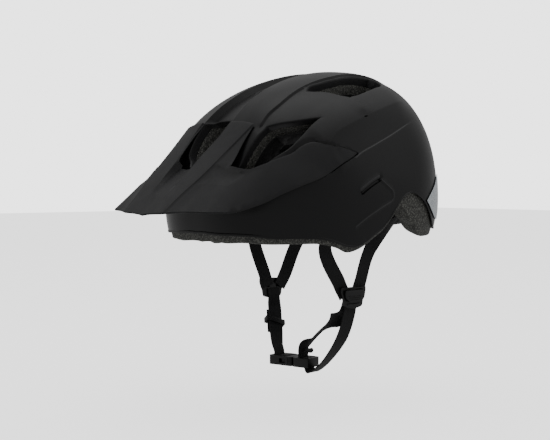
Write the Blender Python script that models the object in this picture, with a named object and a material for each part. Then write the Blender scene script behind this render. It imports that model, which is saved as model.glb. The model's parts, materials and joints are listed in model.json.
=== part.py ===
"""A trail cycling helmet, as separate pieces.

Sizes are in millimetres and degrees here, and become metres where a mesh is made.
The frame: +Z up, the wearer faces -Y, the wearer's left is +X. The origin is where the
flat underside of the crown pad rests on the wearer's head.

The shell, the liner and the visor are drawn on a map of the helmet seen from its centre:
a map point (p, q) lies hypot(p, q) degrees away from straight up, towards the left for
+p and towards the back for +q. A form gives the distance from the centre in each
direction, so a thickness or a relief is a change of that distance.
"""

import math

import bmesh
import bpy
import numpy as np
from mathutils import Matrix, Vector
from mathutils.geometry import delaunay_2d_cdt

MM = 0.001
GAP = 0.4                    # clearance between pieces that touch

# The outer form, measured from the helmet's centre.
SHELL_HALF_WIDTH = 106.0
SHELL_FRONT = 175.0
SHELL_REAR = 102.0
SHELL_HEIGHT = 124.0
SHELL_THICKNESS = 1.2
CENTRE_BEHIND_CROWN = 20.0   # the centre lies this far behind the crown pad's middle

# The foam liner's walls, from the shell's outside to the head cavity.
SIDE_WALL = 24.0
FRONT_WALL = 33.0
REAR_WALL = 32.0
CROWN_WALL = 30.0
LINER_CLEARANCE = 1.1

CROWN_PAD_THICKNESS = 8.0
CROWN_PAD_RADIUS = 17.0
PAD_THICKNESS = 5.0
PAD_GAP = 0.9                # pads are stuck to the liner's wall, which is curved

CHANNEL_DEPTH = 6.0          # the valley between the two top ribs
CHANNEL_WALL = 1.5           # degrees of map that its side walls take
SEAT_DEPTH = 2.8             # the wings' flush seat in the shell
SEAT_WALL = 1.0
SEAT_FADE = 14.0

VISOR_THICKNESS = 1.8
VISOR_TILT_POINT = (56.5, -49.0)    # on the map, where the wings turn
PIVOT_RADIUS = 2.8
PIVOT_RUNNING_GAP = 0.3
PIVOT_HEAD_GAP = 0.6         # between the peg's head and the wing's curved inside
SOCKET_WALL = 2.4
SOCKET_LENGTH = 4.5
SOCKET_POCKET_DEPTH = 11.0
PIVOT_HOLE_GAP = 1.4         # between the peg and the hole in the shell
SOCKET_POCKET_GAP = 4.5      # between the bush and the foam around it

REFLECTOR_THICKNESS = 0.6

STRAP_WIDTH = 15.0
STRAP_THICKNESS = 1.3
STRAP_BAND_GAP = 1.5         # between a strap and the head band that it passes
HARNESS_INSET = 18.0         # straps hang this far inside the cavity's widest wall

STRAP_FRONT_TURN = 56.0      # where each strap is anchored, from straight ahead
STRAP_REAR_TURN = 126.0
ANCHOR_TILT = 76.0           # from straight up
ANCHOR_WIDTH = 20.0
ANCHOR_HEIGHT = 10.0
ANCHOR_OUT = 1.8             # the anchor plate's outer and inner face, inside the cavity
ANCHOR_IN = 4.4
TAIL_LEAD = 14.0             # the folded strap end starts this far below the joint's lead
TAIL_REST = 12.0             # and stops this far above the buckle's lead
TAIL_GAP = 0.6
TAIL_ASIDE = 1.2             # the end shows this far beside the strap
KEEPER_DROP = 27.0           # the keeper's place, below the joint's lead

BROW_PAD_TURN = 42.0
BROW_PAD_TILT = 86.0
BROW_PAD_HEIGHT = 30.0
SIDE_PAD_TURNS = (64.0, 112.0)
SIDE_PAD_TILT = 66.0
SIDE_PAD_HEIGHT = 34.0
CRADLE_PAD_MARGIN = 8.0      # from the cradle's edge, each way

RING_TEMPLE_TURN = 52.0
RING_REAR_TURN = 148.0
RING_TEMPLE_TILT = 90.0
RING_REAR_TILT = 103.0
TEMPLE_ANCHOR_RADIUS = 4.5
TEMPLE_ANCHOR_BEHIND = 4.0   # degrees behind the head band's end
HANGER_WIDTH = 12.0
HANGER_THICKNESS = 1.6
HANGER_TILT = 82.0
BAND_HEIGHT = 13.0
BAND_THICKNESS = 2.0
BAND_INSET = 3.4
CRADLE_HEIGHT = 26.0
CRADLE_THICKNESS = 2.4
CRADLE_INSET = 4.0
CRADLE_TRAVEL = 12.0
REEL_WIDTH = 46.0
REEL_HEIGHT = 25.0
REEL_DEPTH = 9.0
REEL_WALL = 1.5
DIAL_RADIUS = 13.0
DIAL_DEPTH = 8.0
SPOOL_RADIUS = 6.0
SCREW_RADIUS = 1.5

DIVIDER_WIDTH = 32.0
DIVIDER_HEIGHT = 20.0
DIVIDER_THICKNESS = 3.0
LEVER_WIDTH = 25.0
LEVER_HEIGHT = 11.0
LEVER_THICKNESS = 2.4
LEVER_HINGE_INSET = 1.0      # from the lever's upper edge to its hinge
KEEPER_LENGTH = 6.0
KEEPER_WALL = 1.5

BUCKLE_PLACE = (-4.0, -33.0, -243.0)
BUCKLE_TURN = 12.0           # degrees about the vertical
BUCKLE_WIDTH = 21.0
BUCKLE_HEIGHT = 9.0
BUCKLE_WALL = 1.8
FEMALE_LENGTH = 28.0
FEMALE_BAR = 3.2             # the strap's bar at each end of the buckle
SLOT_LENGTH = 4.0
MALE_LENGTH = 19.0
PRONG_LENGTH = 15.0
PRONG_WIDTH = 2.4
BUCKLE_SEAM = 6.0            # where the buckle's halves meet, along the buckle

COARSE = 6.5                 # degrees between mesh points on shell, liner and visor

CAVITY_HALF_WIDTH = SHELL_HALF_WIDTH - SIDE_WALL
CAVITY_FRONT = SHELL_FRONT - FRONT_WALL
CAVITY_REAR = SHELL_REAR - REAR_WALL
CAVITY_HEIGHT = SHELL_HEIGHT - CROWN_WALL
CENTRE = np.array([0.0, CENTRE_BEHIND_CROWN, CROWN_PAD_THICKNESS + GAP - CAVITY_HEIGHT])
FEMALE_SLOT = BUCKLE_SEAM - FEMALE_LENGTH + FEMALE_BAR + 0.5 * SLOT_LENGTH
MALE_SLOT = BUCKLE_SEAM + MALE_LENGTH - FEMALE_BAR - 0.5 * SLOT_LENGTH
MALE_INNER_SLOT = MALE_SLOT - FEMALE_BAR - SLOT_LENGTH

# ---------------------------------------------------------------- clearing and materials


def clear_scene():
    for obj in list(bpy.data.objects):
        bpy.data.objects.remove(obj, do_unlink=True)
    for mesh in list(bpy.data.meshes):
        bpy.data.meshes.remove(mesh)


def material(name, color, roughness, metallic=0.0):
    mat = bpy.data.materials.new(name)
    mat.use_nodes = True
    shader = mat.node_tree.nodes["Principled BSDF"]
    shader.inputs["Base Color"].default_value = (*color, 1.0)
    shader.inputs["Roughness"].default_value = roughness
    shader.inputs["Metallic"].default_value = metallic
    return mat


def new_object(name, verts, faces, mat):
    """A mesh object from points in millimetres."""
    mesh = bpy.data.meshes.new(name)
    mesh.from_pydata([tuple(np.asarray(v, float) * MM) for v in verts], [], faces)
    mesh.validate()
    mesh.materials.append(mat)
    obj = bpy.data.objects.new(name, mesh)
    bpy.context.scene.collection.objects.link(obj)
    mesh.shade_smooth()
    mesh.set_sharp_from_angle(angle=math.radians(35))
    return obj


# ---------------------------------------------------------------- forms on the map


def smooth(t):
    t = np.clip(t, 0.0, 1.0)
    return t * t * (3.0 - 2.0 * t)


OUTER = dict(width=SHELL_HALF_WIDTH, front=SHELL_FRONT, rear=SHELL_REAR, height=SHELL_HEIGHT,
             drop_front=150.0, drop_rear=86.0, plan=(2.8, 1.8), side=(2.07, 2.17), egg=-0.07)
CAVITY = dict(width=CAVITY_HALF_WIDTH, front=CAVITY_FRONT, rear=CAVITY_REAR,
              height=CAVITY_HEIGHT, drop_front=190.0, drop_rear=170.0, plan=(2.3, 2.1),
              side=(2.1, 2.2), egg=0.0)


def form_distance(direction, form):
    """Distance from the centre to the form in each unit direction: superellipses in plan
    and in profile, whose exponents change from the front to the back."""
    x, y, z = direction[..., 0], direction[..., 1], direction[..., 2]
    back = smooth(0.5 + 0.5 * y)
    width = form["width"] * (1.0 + form["egg"] * y)
    length = np.where(y < 0.0, form["front"], form["rear"])
    drop = form["drop_front"] * (1.0 - back) + form["drop_rear"] * back
    height = np.where(z > 0.0, form["height"], drop)
    n = form["plan"][0] * (1.0 - back) + form["plan"][1] * back
    m = form["side"][0] * (1.0 - back) + form["side"][1] * back
    plan = (np.abs(x / width) ** n + np.abs(y / length) ** n) ** (1.0 / n)
    return (plan ** m + np.abs(z / height) ** m) ** (-1.0 / m)


def directions(points):
    points = np.asarray(points, float)
    away = np.hypot(points[..., 0], points[..., 1])
    angle = np.radians(away)
    share = np.where(away > 1e-9, np.sin(angle) / np.maximum(away, 1e-9), math.pi / 180.0)
    return np.stack([share * points[..., 0], share * points[..., 1], np.cos(angle)], -1)


def on_form(points, form, lift=0.0):
    """3-D points at these map points, lifted away from the centre."""
    d = directions(points)
    return CENTRE + d * (form_distance(d, form) + lift)[..., None]


def map_of(point):
    """The map point of a 3-D point."""
    away = np.asarray(point, float) - CENTRE
    tilt = math.degrees(math.acos(away[2] / np.linalg.norm(away)))
    flat = math.hypot(away[0], away[1])
    return tilt * away[0] / flat, tilt * away[1] / flat


def polar(turn, tilt):
    """The map point at a turn from straight ahead and a tilt from straight up."""
    return tilt * math.sin(math.radians(turn)), -tilt * math.cos(math.radians(turn))


def inside(points, outline):
    """Which points lie inside a closed outline."""
    x, y = points[:, 0], points[:, 1]
    found = np.zeros(len(points), bool)
    for (x0, y0), (x1, y1) in zip(outline, outline[1:] + outline[:1]):
        if y0 != y1:
            crosses = (y0 > y) != (y1 > y)
            found ^= crosses & (x < (x1 - x0) * (y - y0) / (y1 - y0) + x0)
    return found


def distance_to(points, line, closed=True):
    """How far each point is from a line of points."""
    nearest = np.full(len(points), 1e9)
    ends = line[1:] + line[:1] if closed else line[1:]
    for a, b in zip(line, ends):
        a, b = np.array(a), np.array(b)
        along = b - a
        t = np.clip((points - a) @ along / (along @ along), 0.0, 1.0)
        nearest = np.minimum(nearest, np.linalg.norm(points - a - t[:, None] * along, axis=1))
    return nearest


def spaced(line, step, closed=True):
    """The line with extra points, so that no stretch is longer than step."""
    out = []
    ends = line[1:] + line[:1] if closed else line[1:]
    for a, b in zip(line, ends):
        count = max(1, math.ceil(math.dist(a, b) / step))
        out += [(a[0] + (b[0] - a[0]) * i / count, a[1] + (b[1] - a[1]) * i / count)
                for i in range(count)]
    return out if closed else out + [line[-1]]


# ---------------------------------------------------------------- outlines on the map
# Each is the left half, from the middle line (p = 0) and back to it.

SHELL_EDGE = [
    (0, -99.3), (12, -98.6), (22, -97), (36, -93), (48, -88.5), (59, -82.5), (69, -76),
    (77, -71), (84, -66.5), (89, -61), (92.5, -54), (94.5, -45), (95.5, -37), (94.5, -30),
    (91.5, -22), (89, -16), (87, -10), (86, -2), (87.5, 6), (90, 15), (93, 24), (95, 36),
    (93, 48), (87, 61), (77, 74), (65, 84), (52, 90), (43, 91), (34, 88), (26, 85),
    (14, 84), (0, 84)]
LINER_EDGE = [
    (0, -102.3), (19, -100.5), (31, -97.3), (42, -93.8), (51, -89.8), (60, -84.8), (69, -79),
    (79, -73), (86, -69), (91, -62.5), (94.5, -54.5), (96.5, -45), (97.5, -37), (96.5, -29),
    (94, -21), (91.5, -14), (95, -9), (100, -2), (103, 6), (106, 13), (107, 22), (104, 35),
    (98, 50), (88, 66), (75, 79), (62, 88), (50, 92.5), (41, 93), (31, 90), (24, 87.5),
    (13, 86), (0, 86)]
FRONT_VENT = [(0, -62), (7, -62.5), (9.5, -64.5), (10, -70), (9, -77), (6, -80.5), (0, -81)]
TOP_VENT = [(0, -45), (3.5, -45), (5, -42), (4.6, -33), (4, -24), (2.5, -17), (0, -15.5)]
BACK_VENT = [(0, 32), (6, 32), (8.5, 37), (8.5, 50), (6, 60), (0, 62)]
CHEEK_VENT = [(25, -61), (28, -58), (31.5, -54.5), (35, -50), (39, -43.8), (39.3, -51),
              (39.6, -57), (39, -62.5), (36.5, -68), (33.5, -73), (30, -76), (24, -77.5)]
CROWN_VENT = [(14, -3), (16, -12), (18, -19), (19.5, -28), (20.5, -36), (23, -39), (26, -36),
              (29, -32), (33, -28), (36, -24.5), (35, -18), (33, -10), (30, -2), (28, 3),
              (24, 7), (18, 9), (14, 7.5)]
NAPE_VENT = [(20, 30), (29, 26), (38, 29), (39, 42), (33, 57), (25, 65), (20, 60), (18.5, 45)]
VENTS = [FRONT_VENT, TOP_VENT, BACK_VENT, CHEEK_VENT, CROWN_VENT, NAPE_VENT]

VISOR_OUTLINE = [
    (0, -93), (12, -91.7), (24, -89), (31, -87), (36, -85), (42, -81), (46, -75), (50, -69),
    (56, -61), (59.5, -52), (61.5, -43), (58, -41), (54, -46), (50, -49), (46, -53),
    (43.4, -56), (42, -59.4), (41, -63.5), (37.6, -68.5), (34.5, -72.5), (31, -75.8), (24, -77.5),
    (22, -70), (21, -63), (15, -63.7), (9, -64.5), (8.5, -72), (6.6, -79), (5, -81.5), (0, -82)]
WING_TOP = [(62.3, -40.2), (57.6, -39.4), (53.2, -44.6), (49.3, -47.7), (45.2, -51.8),
            (42.4, -54.4), (40.4, -58), (39.3, -61)]

CHANNEL_EDGE = [(9.5, -66), (9, -63), (8, -56), (7, -48), (6.5, -40), (6, -25), (6, 0),
                (5, 14), (4, 22)]
REFLECTOR_OUTLINE = [(89.3, 17.5), (78, 30), (63, 44), (58, 60), (66, 74), (76, 66), (85, 55),
                     (91, 42), (92, 30)]


def channel_half_width(q):
    line = np.array(CHANNEL_EDGE)
    return np.interp(q, line[:, 1], line[:, 0])


def relief(points):
    """How far the shell's outside lies above its form: the channel and the wings' seats."""
    points = np.asarray(points, float)
    p, q = np.abs(points[:, 0]), points[:, 1]
    depth = CHANNEL_DEPTH * smooth((22.0 - q) / 24.0) * smooth((q + 82.0) / 8.0)
    channel = depth * smooth((channel_half_width(q) - p) / CHANNEL_WALL)
    folded = np.stack([p, q], -1)
    region = WING_TOP + [(40, -75), (62, -64), (66, -50)]
    reach = distance_to(folded, WING_TOP, closed=False)
    seat = SEAT_DEPTH * smooth(reach / SEAT_WALL) * (1.0 - smooth(reach / SEAT_FADE))
    return -channel - np.where(inside(folded, region), seat, 0.0)


def visor_lift(points):
    """How far the visor's outside lies above the shell's form. It lies on the ribs and in
    the seats at its top edge, and runs forward into the brim."""
    points = np.asarray(points, float)
    tilt = np.hypot(points[:, 0], points[:, 1])
    turn = np.degrees(np.arctan2(np.abs(points[:, 0]), -points[:, 1]))
    brim = 26.0 * (np.clip(tilt - 63.0, 0.0, None) / 23.0) ** 2.7
    share = np.interp(turn, [0, 14, 18, 23, 28, 34, 42, 50, 60],
                      [1.0, 1.07, 0.95, 0.62, 0.43, 0.36, 0.38, 0.46, 0.6])
    on_rib = 2.4 * smooth((30.0 - turn) / 10.0)
    return on_rib + brim * share


# ---------------------------------------------------------------- meshes on the map


def map_triangles(edge, holes, lines, step):
    """Triangles over the left half of an outline with holes and extra lines, mirrored."""
    seam = [(0.0, q) for q in np.arange(edge[0][1], edge[-1][1], step)] + [(0.0, edge[-1][1])]
    runs = [(spaced(edge, step, closed=False), False), (seam, False)]
    runs += [(spaced(hole, step, closed=hole[0][0] > 0), hole[0][0] > 0) for hole in holes]
    runs += [(spaced(line, step, closed=False), False) for line in lines]
    points, edges = [], []
    for run, closed in runs:
        first = len(points)
        points += run
        edges += [(first + i, first + i + 1) for i in range(len(run) - 1)]
        if closed:
            edges.append((len(points) - 1, first))
    grid = []
    row = 0
    high = max(max(abs(a), abs(b)) for a, b in edge)
    for q in np.arange(-high, high, step * math.sqrt(3) / 2):
        grid += [(p, q) for p in np.arange(step * (0.5 + 0.5 * (row % 2)), high, step)]
        row += 1
    grid = np.array(grid)
    known = np.array(points)
    keep = inside(grid, edge)
    for hole in holes:
        keep &= ~inside(grid, hole)
    clear = np.min(np.linalg.norm(grid[:, None] - known[None], axis=2), axis=1) > 0.55 * step
    grid = grid[keep & clear]
    verts = [Vector(p) for p in points] + [Vector(p) for p in grid]
    verts, _, faces, *_ = delaunay_2d_cdt(verts, edges, [], 0, 1e-5)
    flat = np.array([(v.x, v.y) for v in verts])
    flat[np.abs(flat[:, 0]) < 1e-4, 0] = 0.0
    tris = np.array([f for f in faces if len(f) == 3])
    middle = flat[tris].mean(axis=1)
    keep = inside(middle, edge) & (middle[:, 0] > 0.0)
    for hole in holes:
        keep &= ~inside(middle, hole)
    tris = tris[keep]
    used = np.unique(tris)
    renumber = np.full(len(flat), -1)
    renumber[used] = np.arange(len(used))
    flat, tris = flat[used], renumber[tris]
    mirror = np.arange(len(flat))
    others = np.nonzero(flat[:, 0] > 0.0)[0]
    mirror[others] = len(flat) + np.arange(len(others))
    flat = np.vstack([flat, flat[others] * [-1.0, 1.0]])
    return flat, [list(t) for t in tris] + [list(mirror[t][::-1]) for t in tris]


def closed_body(name, tris, outer, inner, mat):
    """A body between two layers of points that share triangles, with walls at its edges."""
    a, b, c = (outer[tris[0][i]] for i in range(3))
    if np.dot(np.cross(b - a, c - a), a - CENTRE) < 0.0:
        tris = [t[::-1] for t in tris]
    count = len(outer)
    sides = {}
    for t in tris:
        for i in range(3):
            sides[(t[i], t[(i + 1) % 3])] = True
    faces = [tuple(t) for t in tris] + [tuple(count + i for i in t[::-1]) for t in tris]
    for a, b in sides:
        if (b, a) not in sides:
            faces.append((b, a, count + a, count + b))
    return new_object(name, np.vstack([outer, inner]), faces, mat)


def patch(name, outline, form, lift, thickness, mat, side=1, step=COARSE):
    """A plate of even thickness over one side's outline."""
    edge = spaced(outline, step)
    points = [Vector(p) for p in edge]
    edges = [(i, (i + 1) % len(edge)) for i in range(len(edge))]
    low, high = np.min(edge, axis=0), np.max(edge, axis=0)
    grid = np.array([(p, q) for q in np.arange(low[1] + step / 2, high[1], step)
                     for p in np.arange(low[0] + step / 2, high[0], step)])
    grid = grid[inside(grid, outline) & (distance_to(grid, outline) > 0.5 * step)]
    points += [Vector(p) for p in grid]
    verts, _, faces, *_ = delaunay_2d_cdt(points, edges, [], 1, 1e-5)
    flat = np.array([(side * v.x, v.y) for v in verts])
    outer = on_form(flat, form, lift(flat) + thickness)
    inner = on_form(flat, form, lift(flat))
    return closed_body(name, [list(f) for f in faces], outer, inner, mat)


def band(name, turns, tilts, height, inset, thickness, mat, cells=12, rows=1, taper=1.0):
    """A strip that follows the head cavity's wall, inset from it. tilts are its middle
    line's tilts at its two ends, and taper is its height at the ends over its full height."""
    outer, inner = [], []
    for i in range(cells + 1):
        t = i / cells
        turn = turns[0] + (turns[1] - turns[0]) * t
        tilt = tilts[0] + (tilts[1] - tilts[0]) * t
        middle = on_form(np.array([polar(turn, tilt)]), CAVITY)[0]
        reach = np.linalg.norm(middle - CENTRE)
        end = abs(2.0 * t - 1.0) ** 4
        half = math.degrees(0.5 * height / reach) * (1.0 - end * (1.0 - taper))
        for j in range(rows + 1):
            point = np.array([polar(turn, tilt + half * (2.0 * j / rows - 1.0))])
            outer.append(on_form(point, CAVITY, -inset)[0])
            inner.append(on_form(point, CAVITY, -inset - thickness)[0])
    tris = []
    for i in range(cells):
        for j in range(rows):
            a = i * (rows + 1) + j
            b = a + rows + 1
            tris += [[a, b, b + 1], [a, b + 1, a + 1]]
    return closed_body(name, tris, np.array(outer), np.array(inner), mat)


# ---------------------------------------------------------------- plain solids


def frame_matrix(origin, x_axis, z_axis):
    """A matrix whose local X and Z run along the two directions, in metres."""
    z = Vector(z_axis).normalized()
    x = (Vector(x_axis) - Vector(x_axis).dot(z) * z).normalized()
    y = z.cross(x)
    matrix = Matrix((x, y, z)).transposed().to_4x4()
    matrix.translation = Vector(origin) * MM
    return matrix


def prism(name, outline, low, high, mat, matrix=None):
    """An outline in local X and Y, extruded from low to high along local Z."""
    count = len(outline)
    verts = [(x, y, low) for x, y in outline] + [(x, y, high) for x, y in outline]
    faces = [tuple(reversed(range(count))), tuple(range(count, 2 * count))]
    faces += [(i, (i + 1) % count, count + (i + 1) % count, count + i) for i in range(count)]
    obj = new_object(name, verts, faces, mat)
    if matrix is not None:
        obj.matrix_world = matrix
    return obj


def rectangle(width, height, corner=0.0, steps=2):
    """A rectangle about the origin with rounded corners, anticlockwise."""
    if corner <= 0.0:
        return [(-width / 2, -height / 2), (width / 2, -height / 2),
                (width / 2, height / 2), (-width / 2, height / 2)]
    out = []
    for k, (sx, sy) in enumerate(((1, -1), (1, 1), (-1, 1), (-1, -1))):
        for i in range(steps + 1):
            turn = math.radians(-90 + 90 * k + 90 * i / steps)
            out.append((sx * (width / 2 - corner) + corner * math.cos(turn),
                        sy * (height / 2 - corner) + corner * math.sin(turn)))
    return out


def disc(radius, count=20):
    return [(radius * math.cos(2 * math.pi * i / count), radius * math.sin(2 * math.pi * i / count))
            for i in range(count)]


def ring_solid(name, outer, inner, low, high, mat, matrix=None):
    """A tube whose two outlines have as many points."""
    count = len(outer)
    verts = [(x, y, z) for z in (low, high) for loop in (outer, inner) for x, y in loop]
    faces = []
    for i in range(count):
        j = (i + 1) % count
        out_low, in_low = (i, j), (count + i, count + j)
        out_high, in_high = (2 * count + i, 2 * count + j), (3 * count + i, 3 * count + j)
        faces.append((out_low[0], out_low[1], out_high[1], out_high[0]))
        faces.append((in_low[1], in_low[0], in_high[0], in_high[1]))
        faces.append((out_low[1], out_low[0], in_low[0], in_low[1]))
        faces.append((out_high[0], out_high[1], in_high[1], in_high[0]))
    obj = new_object(name, verts, faces, mat)
    if matrix is not None:
        obj.matrix_world = matrix
    return obj


def combine(obj, guide, operation="DIFFERENCE"):
    """Cuts a guide solid out of an object, or joins it to the object."""
    guide.display_type = "WIRE"
    guide.hide_render = True
    modifier = obj.modifiers.new("with_" + guide.name, "BOOLEAN")
    modifier.operation = operation
    modifier.solver = "EXACT"
    modifier.object = guide


def curve_points(points, count):
    """A smooth curve through the points (Catmull-Rom), as count + 1 points."""
    pts = [np.array(p, float) for p in points]
    pts = [2 * pts[0] - pts[1]] + pts + [2 * pts[-1] - pts[-2]]
    spans = len(pts) - 3
    out = []
    for i in range(count + 1):
        s = min(i * spans / count, spans - 1e-9)
        k, t = int(s), s - int(s)
        a, b, c, d = pts[k:k + 4]
        out.append(0.5 * (2 * b + (c - a) * t + (2 * a - 5 * b + 4 * c - d) * t ** 2
                          + (3 * b - a - 3 * c + d) * t ** 3))
    return out


def ribbon(name, points, across, mat, width=STRAP_WIDTH, thickness=STRAP_THICKNESS, count=10):
    """A flat strap along a smooth curve. across holds the strap's width direction at its
    two ends or at several even places along it."""
    path = curve_points(points, count)
    sides = [np.array(a, float) for a in across]
    verts, faces = [], []
    for i, centre in enumerate(path):
        along = path[min(i + 1, count)] - path[max(i - 1, 0)]
        along /= np.linalg.norm(along)
        s = i * (len(sides) - 1) / count
        k = min(int(s), len(sides) - 2)
        wide = sides[k] * (k + 1 - s) + sides[k + 1] * (s - k)
        wide -= wide.dot(along) * along
        wide /= np.linalg.norm(wide)
        thick = np.cross(along, wide)
        for u, v in ((-1, -1), (1, -1), (1, 1), (-1, 1)):
            verts.append(centre + wide * u * width / 2 + thick * v * thickness / 2)
    for i in range(count):
        a, b = 4 * i, 4 * i + 4
        faces += [(a + j, a + (j + 1) % 4, b + (j + 1) % 4, b + j) for j in range(4)]
    faces += [(3, 2, 1, 0), tuple(4 * count + j for j in range(4))]
    return new_object(name, verts, faces, mat)


# ---------------------------------------------------------------- shell, liner and visor


def seat_lines():
    outer = WING_TOP
    inner = [(p + 0.55 * SEAT_WALL, q - 0.85 * SEAT_WALL) for p, q in WING_TOP[1:-1]]
    return [outer, inner]


def channel_lines():
    outer = CHANNEL_EDGE[1:]
    return [outer, [(p - CHANNEL_WALL, q) for p, q in outer]]


def around_pivot(radius, count, lift):
    """The map outline of a circle about the visor's tilt axis, where it meets the form."""
    x, y, z = pivot_place()
    out = []
    for a, b in disc(radius, count):
        wall = wall_x(y + a, z + b, OUTER, lift)
        out.append(map_of((wall, y + a, z + b)))
    return out


def build_shell(mats):
    seat = float(relief(np.array([VISOR_TILT_POINT]))[0])
    pivot = around_pivot(PIVOT_RADIUS + PIVOT_HOLE_GAP, 12, seat - 0.5 * SHELL_THICKNESS)
    flat, tris = map_triangles(SHELL_EDGE, VENTS + [pivot], seat_lines() + channel_lines(), COARSE)
    lift = relief(flat)
    closed_body("outer_shell", tris, on_form(flat, OUTER, lift),
                on_form(flat, OUTER, lift - SHELL_THICKNESS), mats["shell"])


def pocket_lines():
    """The rim and the floor of the pocket behind each visor bush."""
    floor = PIVOT_RADIUS + PIVOT_RUNNING_GAP + SOCKET_WALL + SOCKET_POCKET_GAP
    deep = -0.6 * SOCKET_POCKET_DEPTH
    return around_pivot(floor + 1.0, 12, deep), around_pivot(floor, 12, deep)


def build_liner(mats):
    rim, floor = pocket_lines()
    lines = seat_lines() + channel_lines() + [rim + rim[:1], floor + floor[:1]]
    inset = [shrink(vent, 1.6) for vent in VENTS]
    flat, tris = map_triangles(LINER_EDGE, inset, lines, COARSE)
    folded = np.abs(flat) * [1.0, 0.0] + flat * [0.0, 1.0]
    lift = relief(flat) - SHELL_THICKNESS - LINER_CLEARANCE
    pocket = inside(folded, rim) & (distance_to(folded, rim) > 0.3)
    lift = np.where(pocket, lift - SOCKET_POCKET_DEPTH, lift)
    closed_body("eps_liner", tris, on_form(flat, OUTER, lift), on_form(flat, CAVITY),
                mats["foam"])


def shrink(outline, by):
    """A vent's outline moved inwards, towards its middle. On the middle line p stays 0."""
    pts = np.array(outline, float)
    middle = pts.mean(axis=0)
    if outline[0][0] == 0:
        middle[0] = 0.0
    away = pts - middle
    length = np.linalg.norm(away, axis=1)
    return [tuple(p) for p in middle + away * np.maximum(1.0 - by / length, 0.4)[:, None]]


def build_visor(mats):
    flat, tris = map_triangles(VISOR_OUTLINE, [], [], COARSE * 0.7)
    lift = visor_lift(flat)
    closed_body("visor", tris, on_form(flat, OUTER, lift),
                on_form(flat, OUTER, lift - VISOR_THICKNESS), mats["visor"])


def pivot_place():
    """Where the visor's tilt axis meets the left wing's inside."""
    lift = visor_lift(np.array([VISOR_TILT_POINT])) - VISOR_THICKNESS
    return on_form(np.array([VISOR_TILT_POINT]), OUTER, lift)[0]


def wall_x(y, z, form, lift=0.0):
    """X of a form's left wall at this Y and Z, found by halving."""
    low, high = 0.0, 2.0 * form["width"]
    for _ in range(40):
        x = 0.5 * (low + high)
        away = np.array([x, y, z]) - CENTRE
        reach = np.linalg.norm(away)
        if reach > form_distance(away / reach, form) + lift:
            high = x
        else:
            low = x
    return low


def least_x(y, z, radius, form, lift):
    """The smallest X of the wall over a disc about (y, z)."""
    return min(wall_x(y + radius * math.cos(t), z + radius * math.sin(t), form, lift)
               for t in np.linspace(0.0, 2.0 * math.pi, 9))


def build_pivots(mats):
    place = pivot_place()
    y, z = place[1], place[2]
    visor_inside = float(visor_lift(np.array([VISOR_TILT_POINT]))[0]) - VISOR_THICKNESS
    seat = float(relief(np.array([VISOR_TILT_POINT]))[0])
    head = least_x(y, z, PIVOT_RADIUS, OUTER, visor_inside) - PIVOT_HEAD_GAP
    bush = PIVOT_RADIUS + PIVOT_RUNNING_GAP + SOCKET_WALL
    rear = least_x(y, z, bush, OUTER, seat - SHELL_THICKNESS) - 2 * GAP
    for side, label in ((1, "left"), (-1, "right")):
        matrix = frame_matrix((0, y, z), (0, side, 0), (side, 0, 0))
        prism("visor_pivot_" + label, disc(PIVOT_RADIUS, 14), rear - SOCKET_LENGTH + 0.5, head,
              mats["hardware"], matrix)
        ring_solid("pivot_socket_" + label, disc(bush, 16),
                   disc(PIVOT_RADIUS + PIVOT_RUNNING_GAP, 16), rear - SOCKET_LENGTH, rear,
                   mats["hardware"], matrix)


def build_reflectors(mats):
    for side, label in ((1, "left"), (-1, "right")):
        patch("reflector_" + label, REFLECTOR_OUTLINE, OUTER,
              lambda flat: np.full(len(flat), GAP + 0.3), REFLECTOR_THICKNESS,
              mats["reflector"], side)


# ---------------------------------------------------------------- pads


def build_pads(mats):
    band("brow_pad", (-BROW_PAD_TURN, BROW_PAD_TURN), (BROW_PAD_TILT, BROW_PAD_TILT),
         BROW_PAD_HEIGHT, PAD_GAP, PAD_THICKNESS, mats["pad"], 16, 2, 0.6)
    for side, label in ((1, "left"), (-1, "right")):
        turns = [side * turn for turn in SIDE_PAD_TURNS]
        band("side_pad_" + label, turns, (SIDE_PAD_TILT, SIDE_PAD_TILT), SIDE_PAD_HEIGHT,
             PAD_GAP, PAD_THICKNESS, mats["pad"], 8, 2, 0.6)
    crown_pad(mats)


def crown_pad(mats):
    """A round pad under the crown: its top follows the liner, its underside is flat at 0."""
    count = 24
    rings = (0.0, 0.55, 1.0)
    verts = []
    for share in rings:
        for i in range(count if share else 1):
            turn = 2 * math.pi * i / count
            x = CROWN_PAD_RADIUS * share * math.cos(turn)
            y = CROWN_PAD_RADIUS * share * math.sin(turn)
            verts.append((x, y, cavity_top(x, y) - GAP))
    top = len(verts)
    verts += [(x, y, 0.0) for x, y, z in verts[-count:]]
    faces = [(0, 1 + i, 1 + (i + 1) % count) for i in range(count)]
    faces += [(1 + i, 1 + count + i, 1 + count + (i + 1) % count, 1 + (i + 1) % count)
              for i in range(count)]
    faces += [(1 + count + i, top + i, top + (i + 1) % count, 1 + count + (i + 1) % count)
              for i in range(count)]
    faces.append(tuple(top + i for i in reversed(range(count))))
    new_object("crown_pad", verts, faces, mats["pad"])


def cavity_top(x, y):
    """Height of the cavity's roof over a point."""
    low, high = CENTRE[2], CENTRE[2] + 1.5 * CAVITY_HEIGHT
    for _ in range(40):
        z = 0.5 * (low + high)
        away = np.array([x, y, z]) - CENTRE
        reach = np.linalg.norm(away)
        if reach > form_distance(away / reach, CAVITY):
            high = z
        else:
            low = z
    return low


# ---------------------------------------------------------------- head ring and dial


def on_cavity(turn, tilt, inset=0.0):
    return on_form(np.array([polar(turn, tilt)]), CAVITY, -inset)[0]


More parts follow.
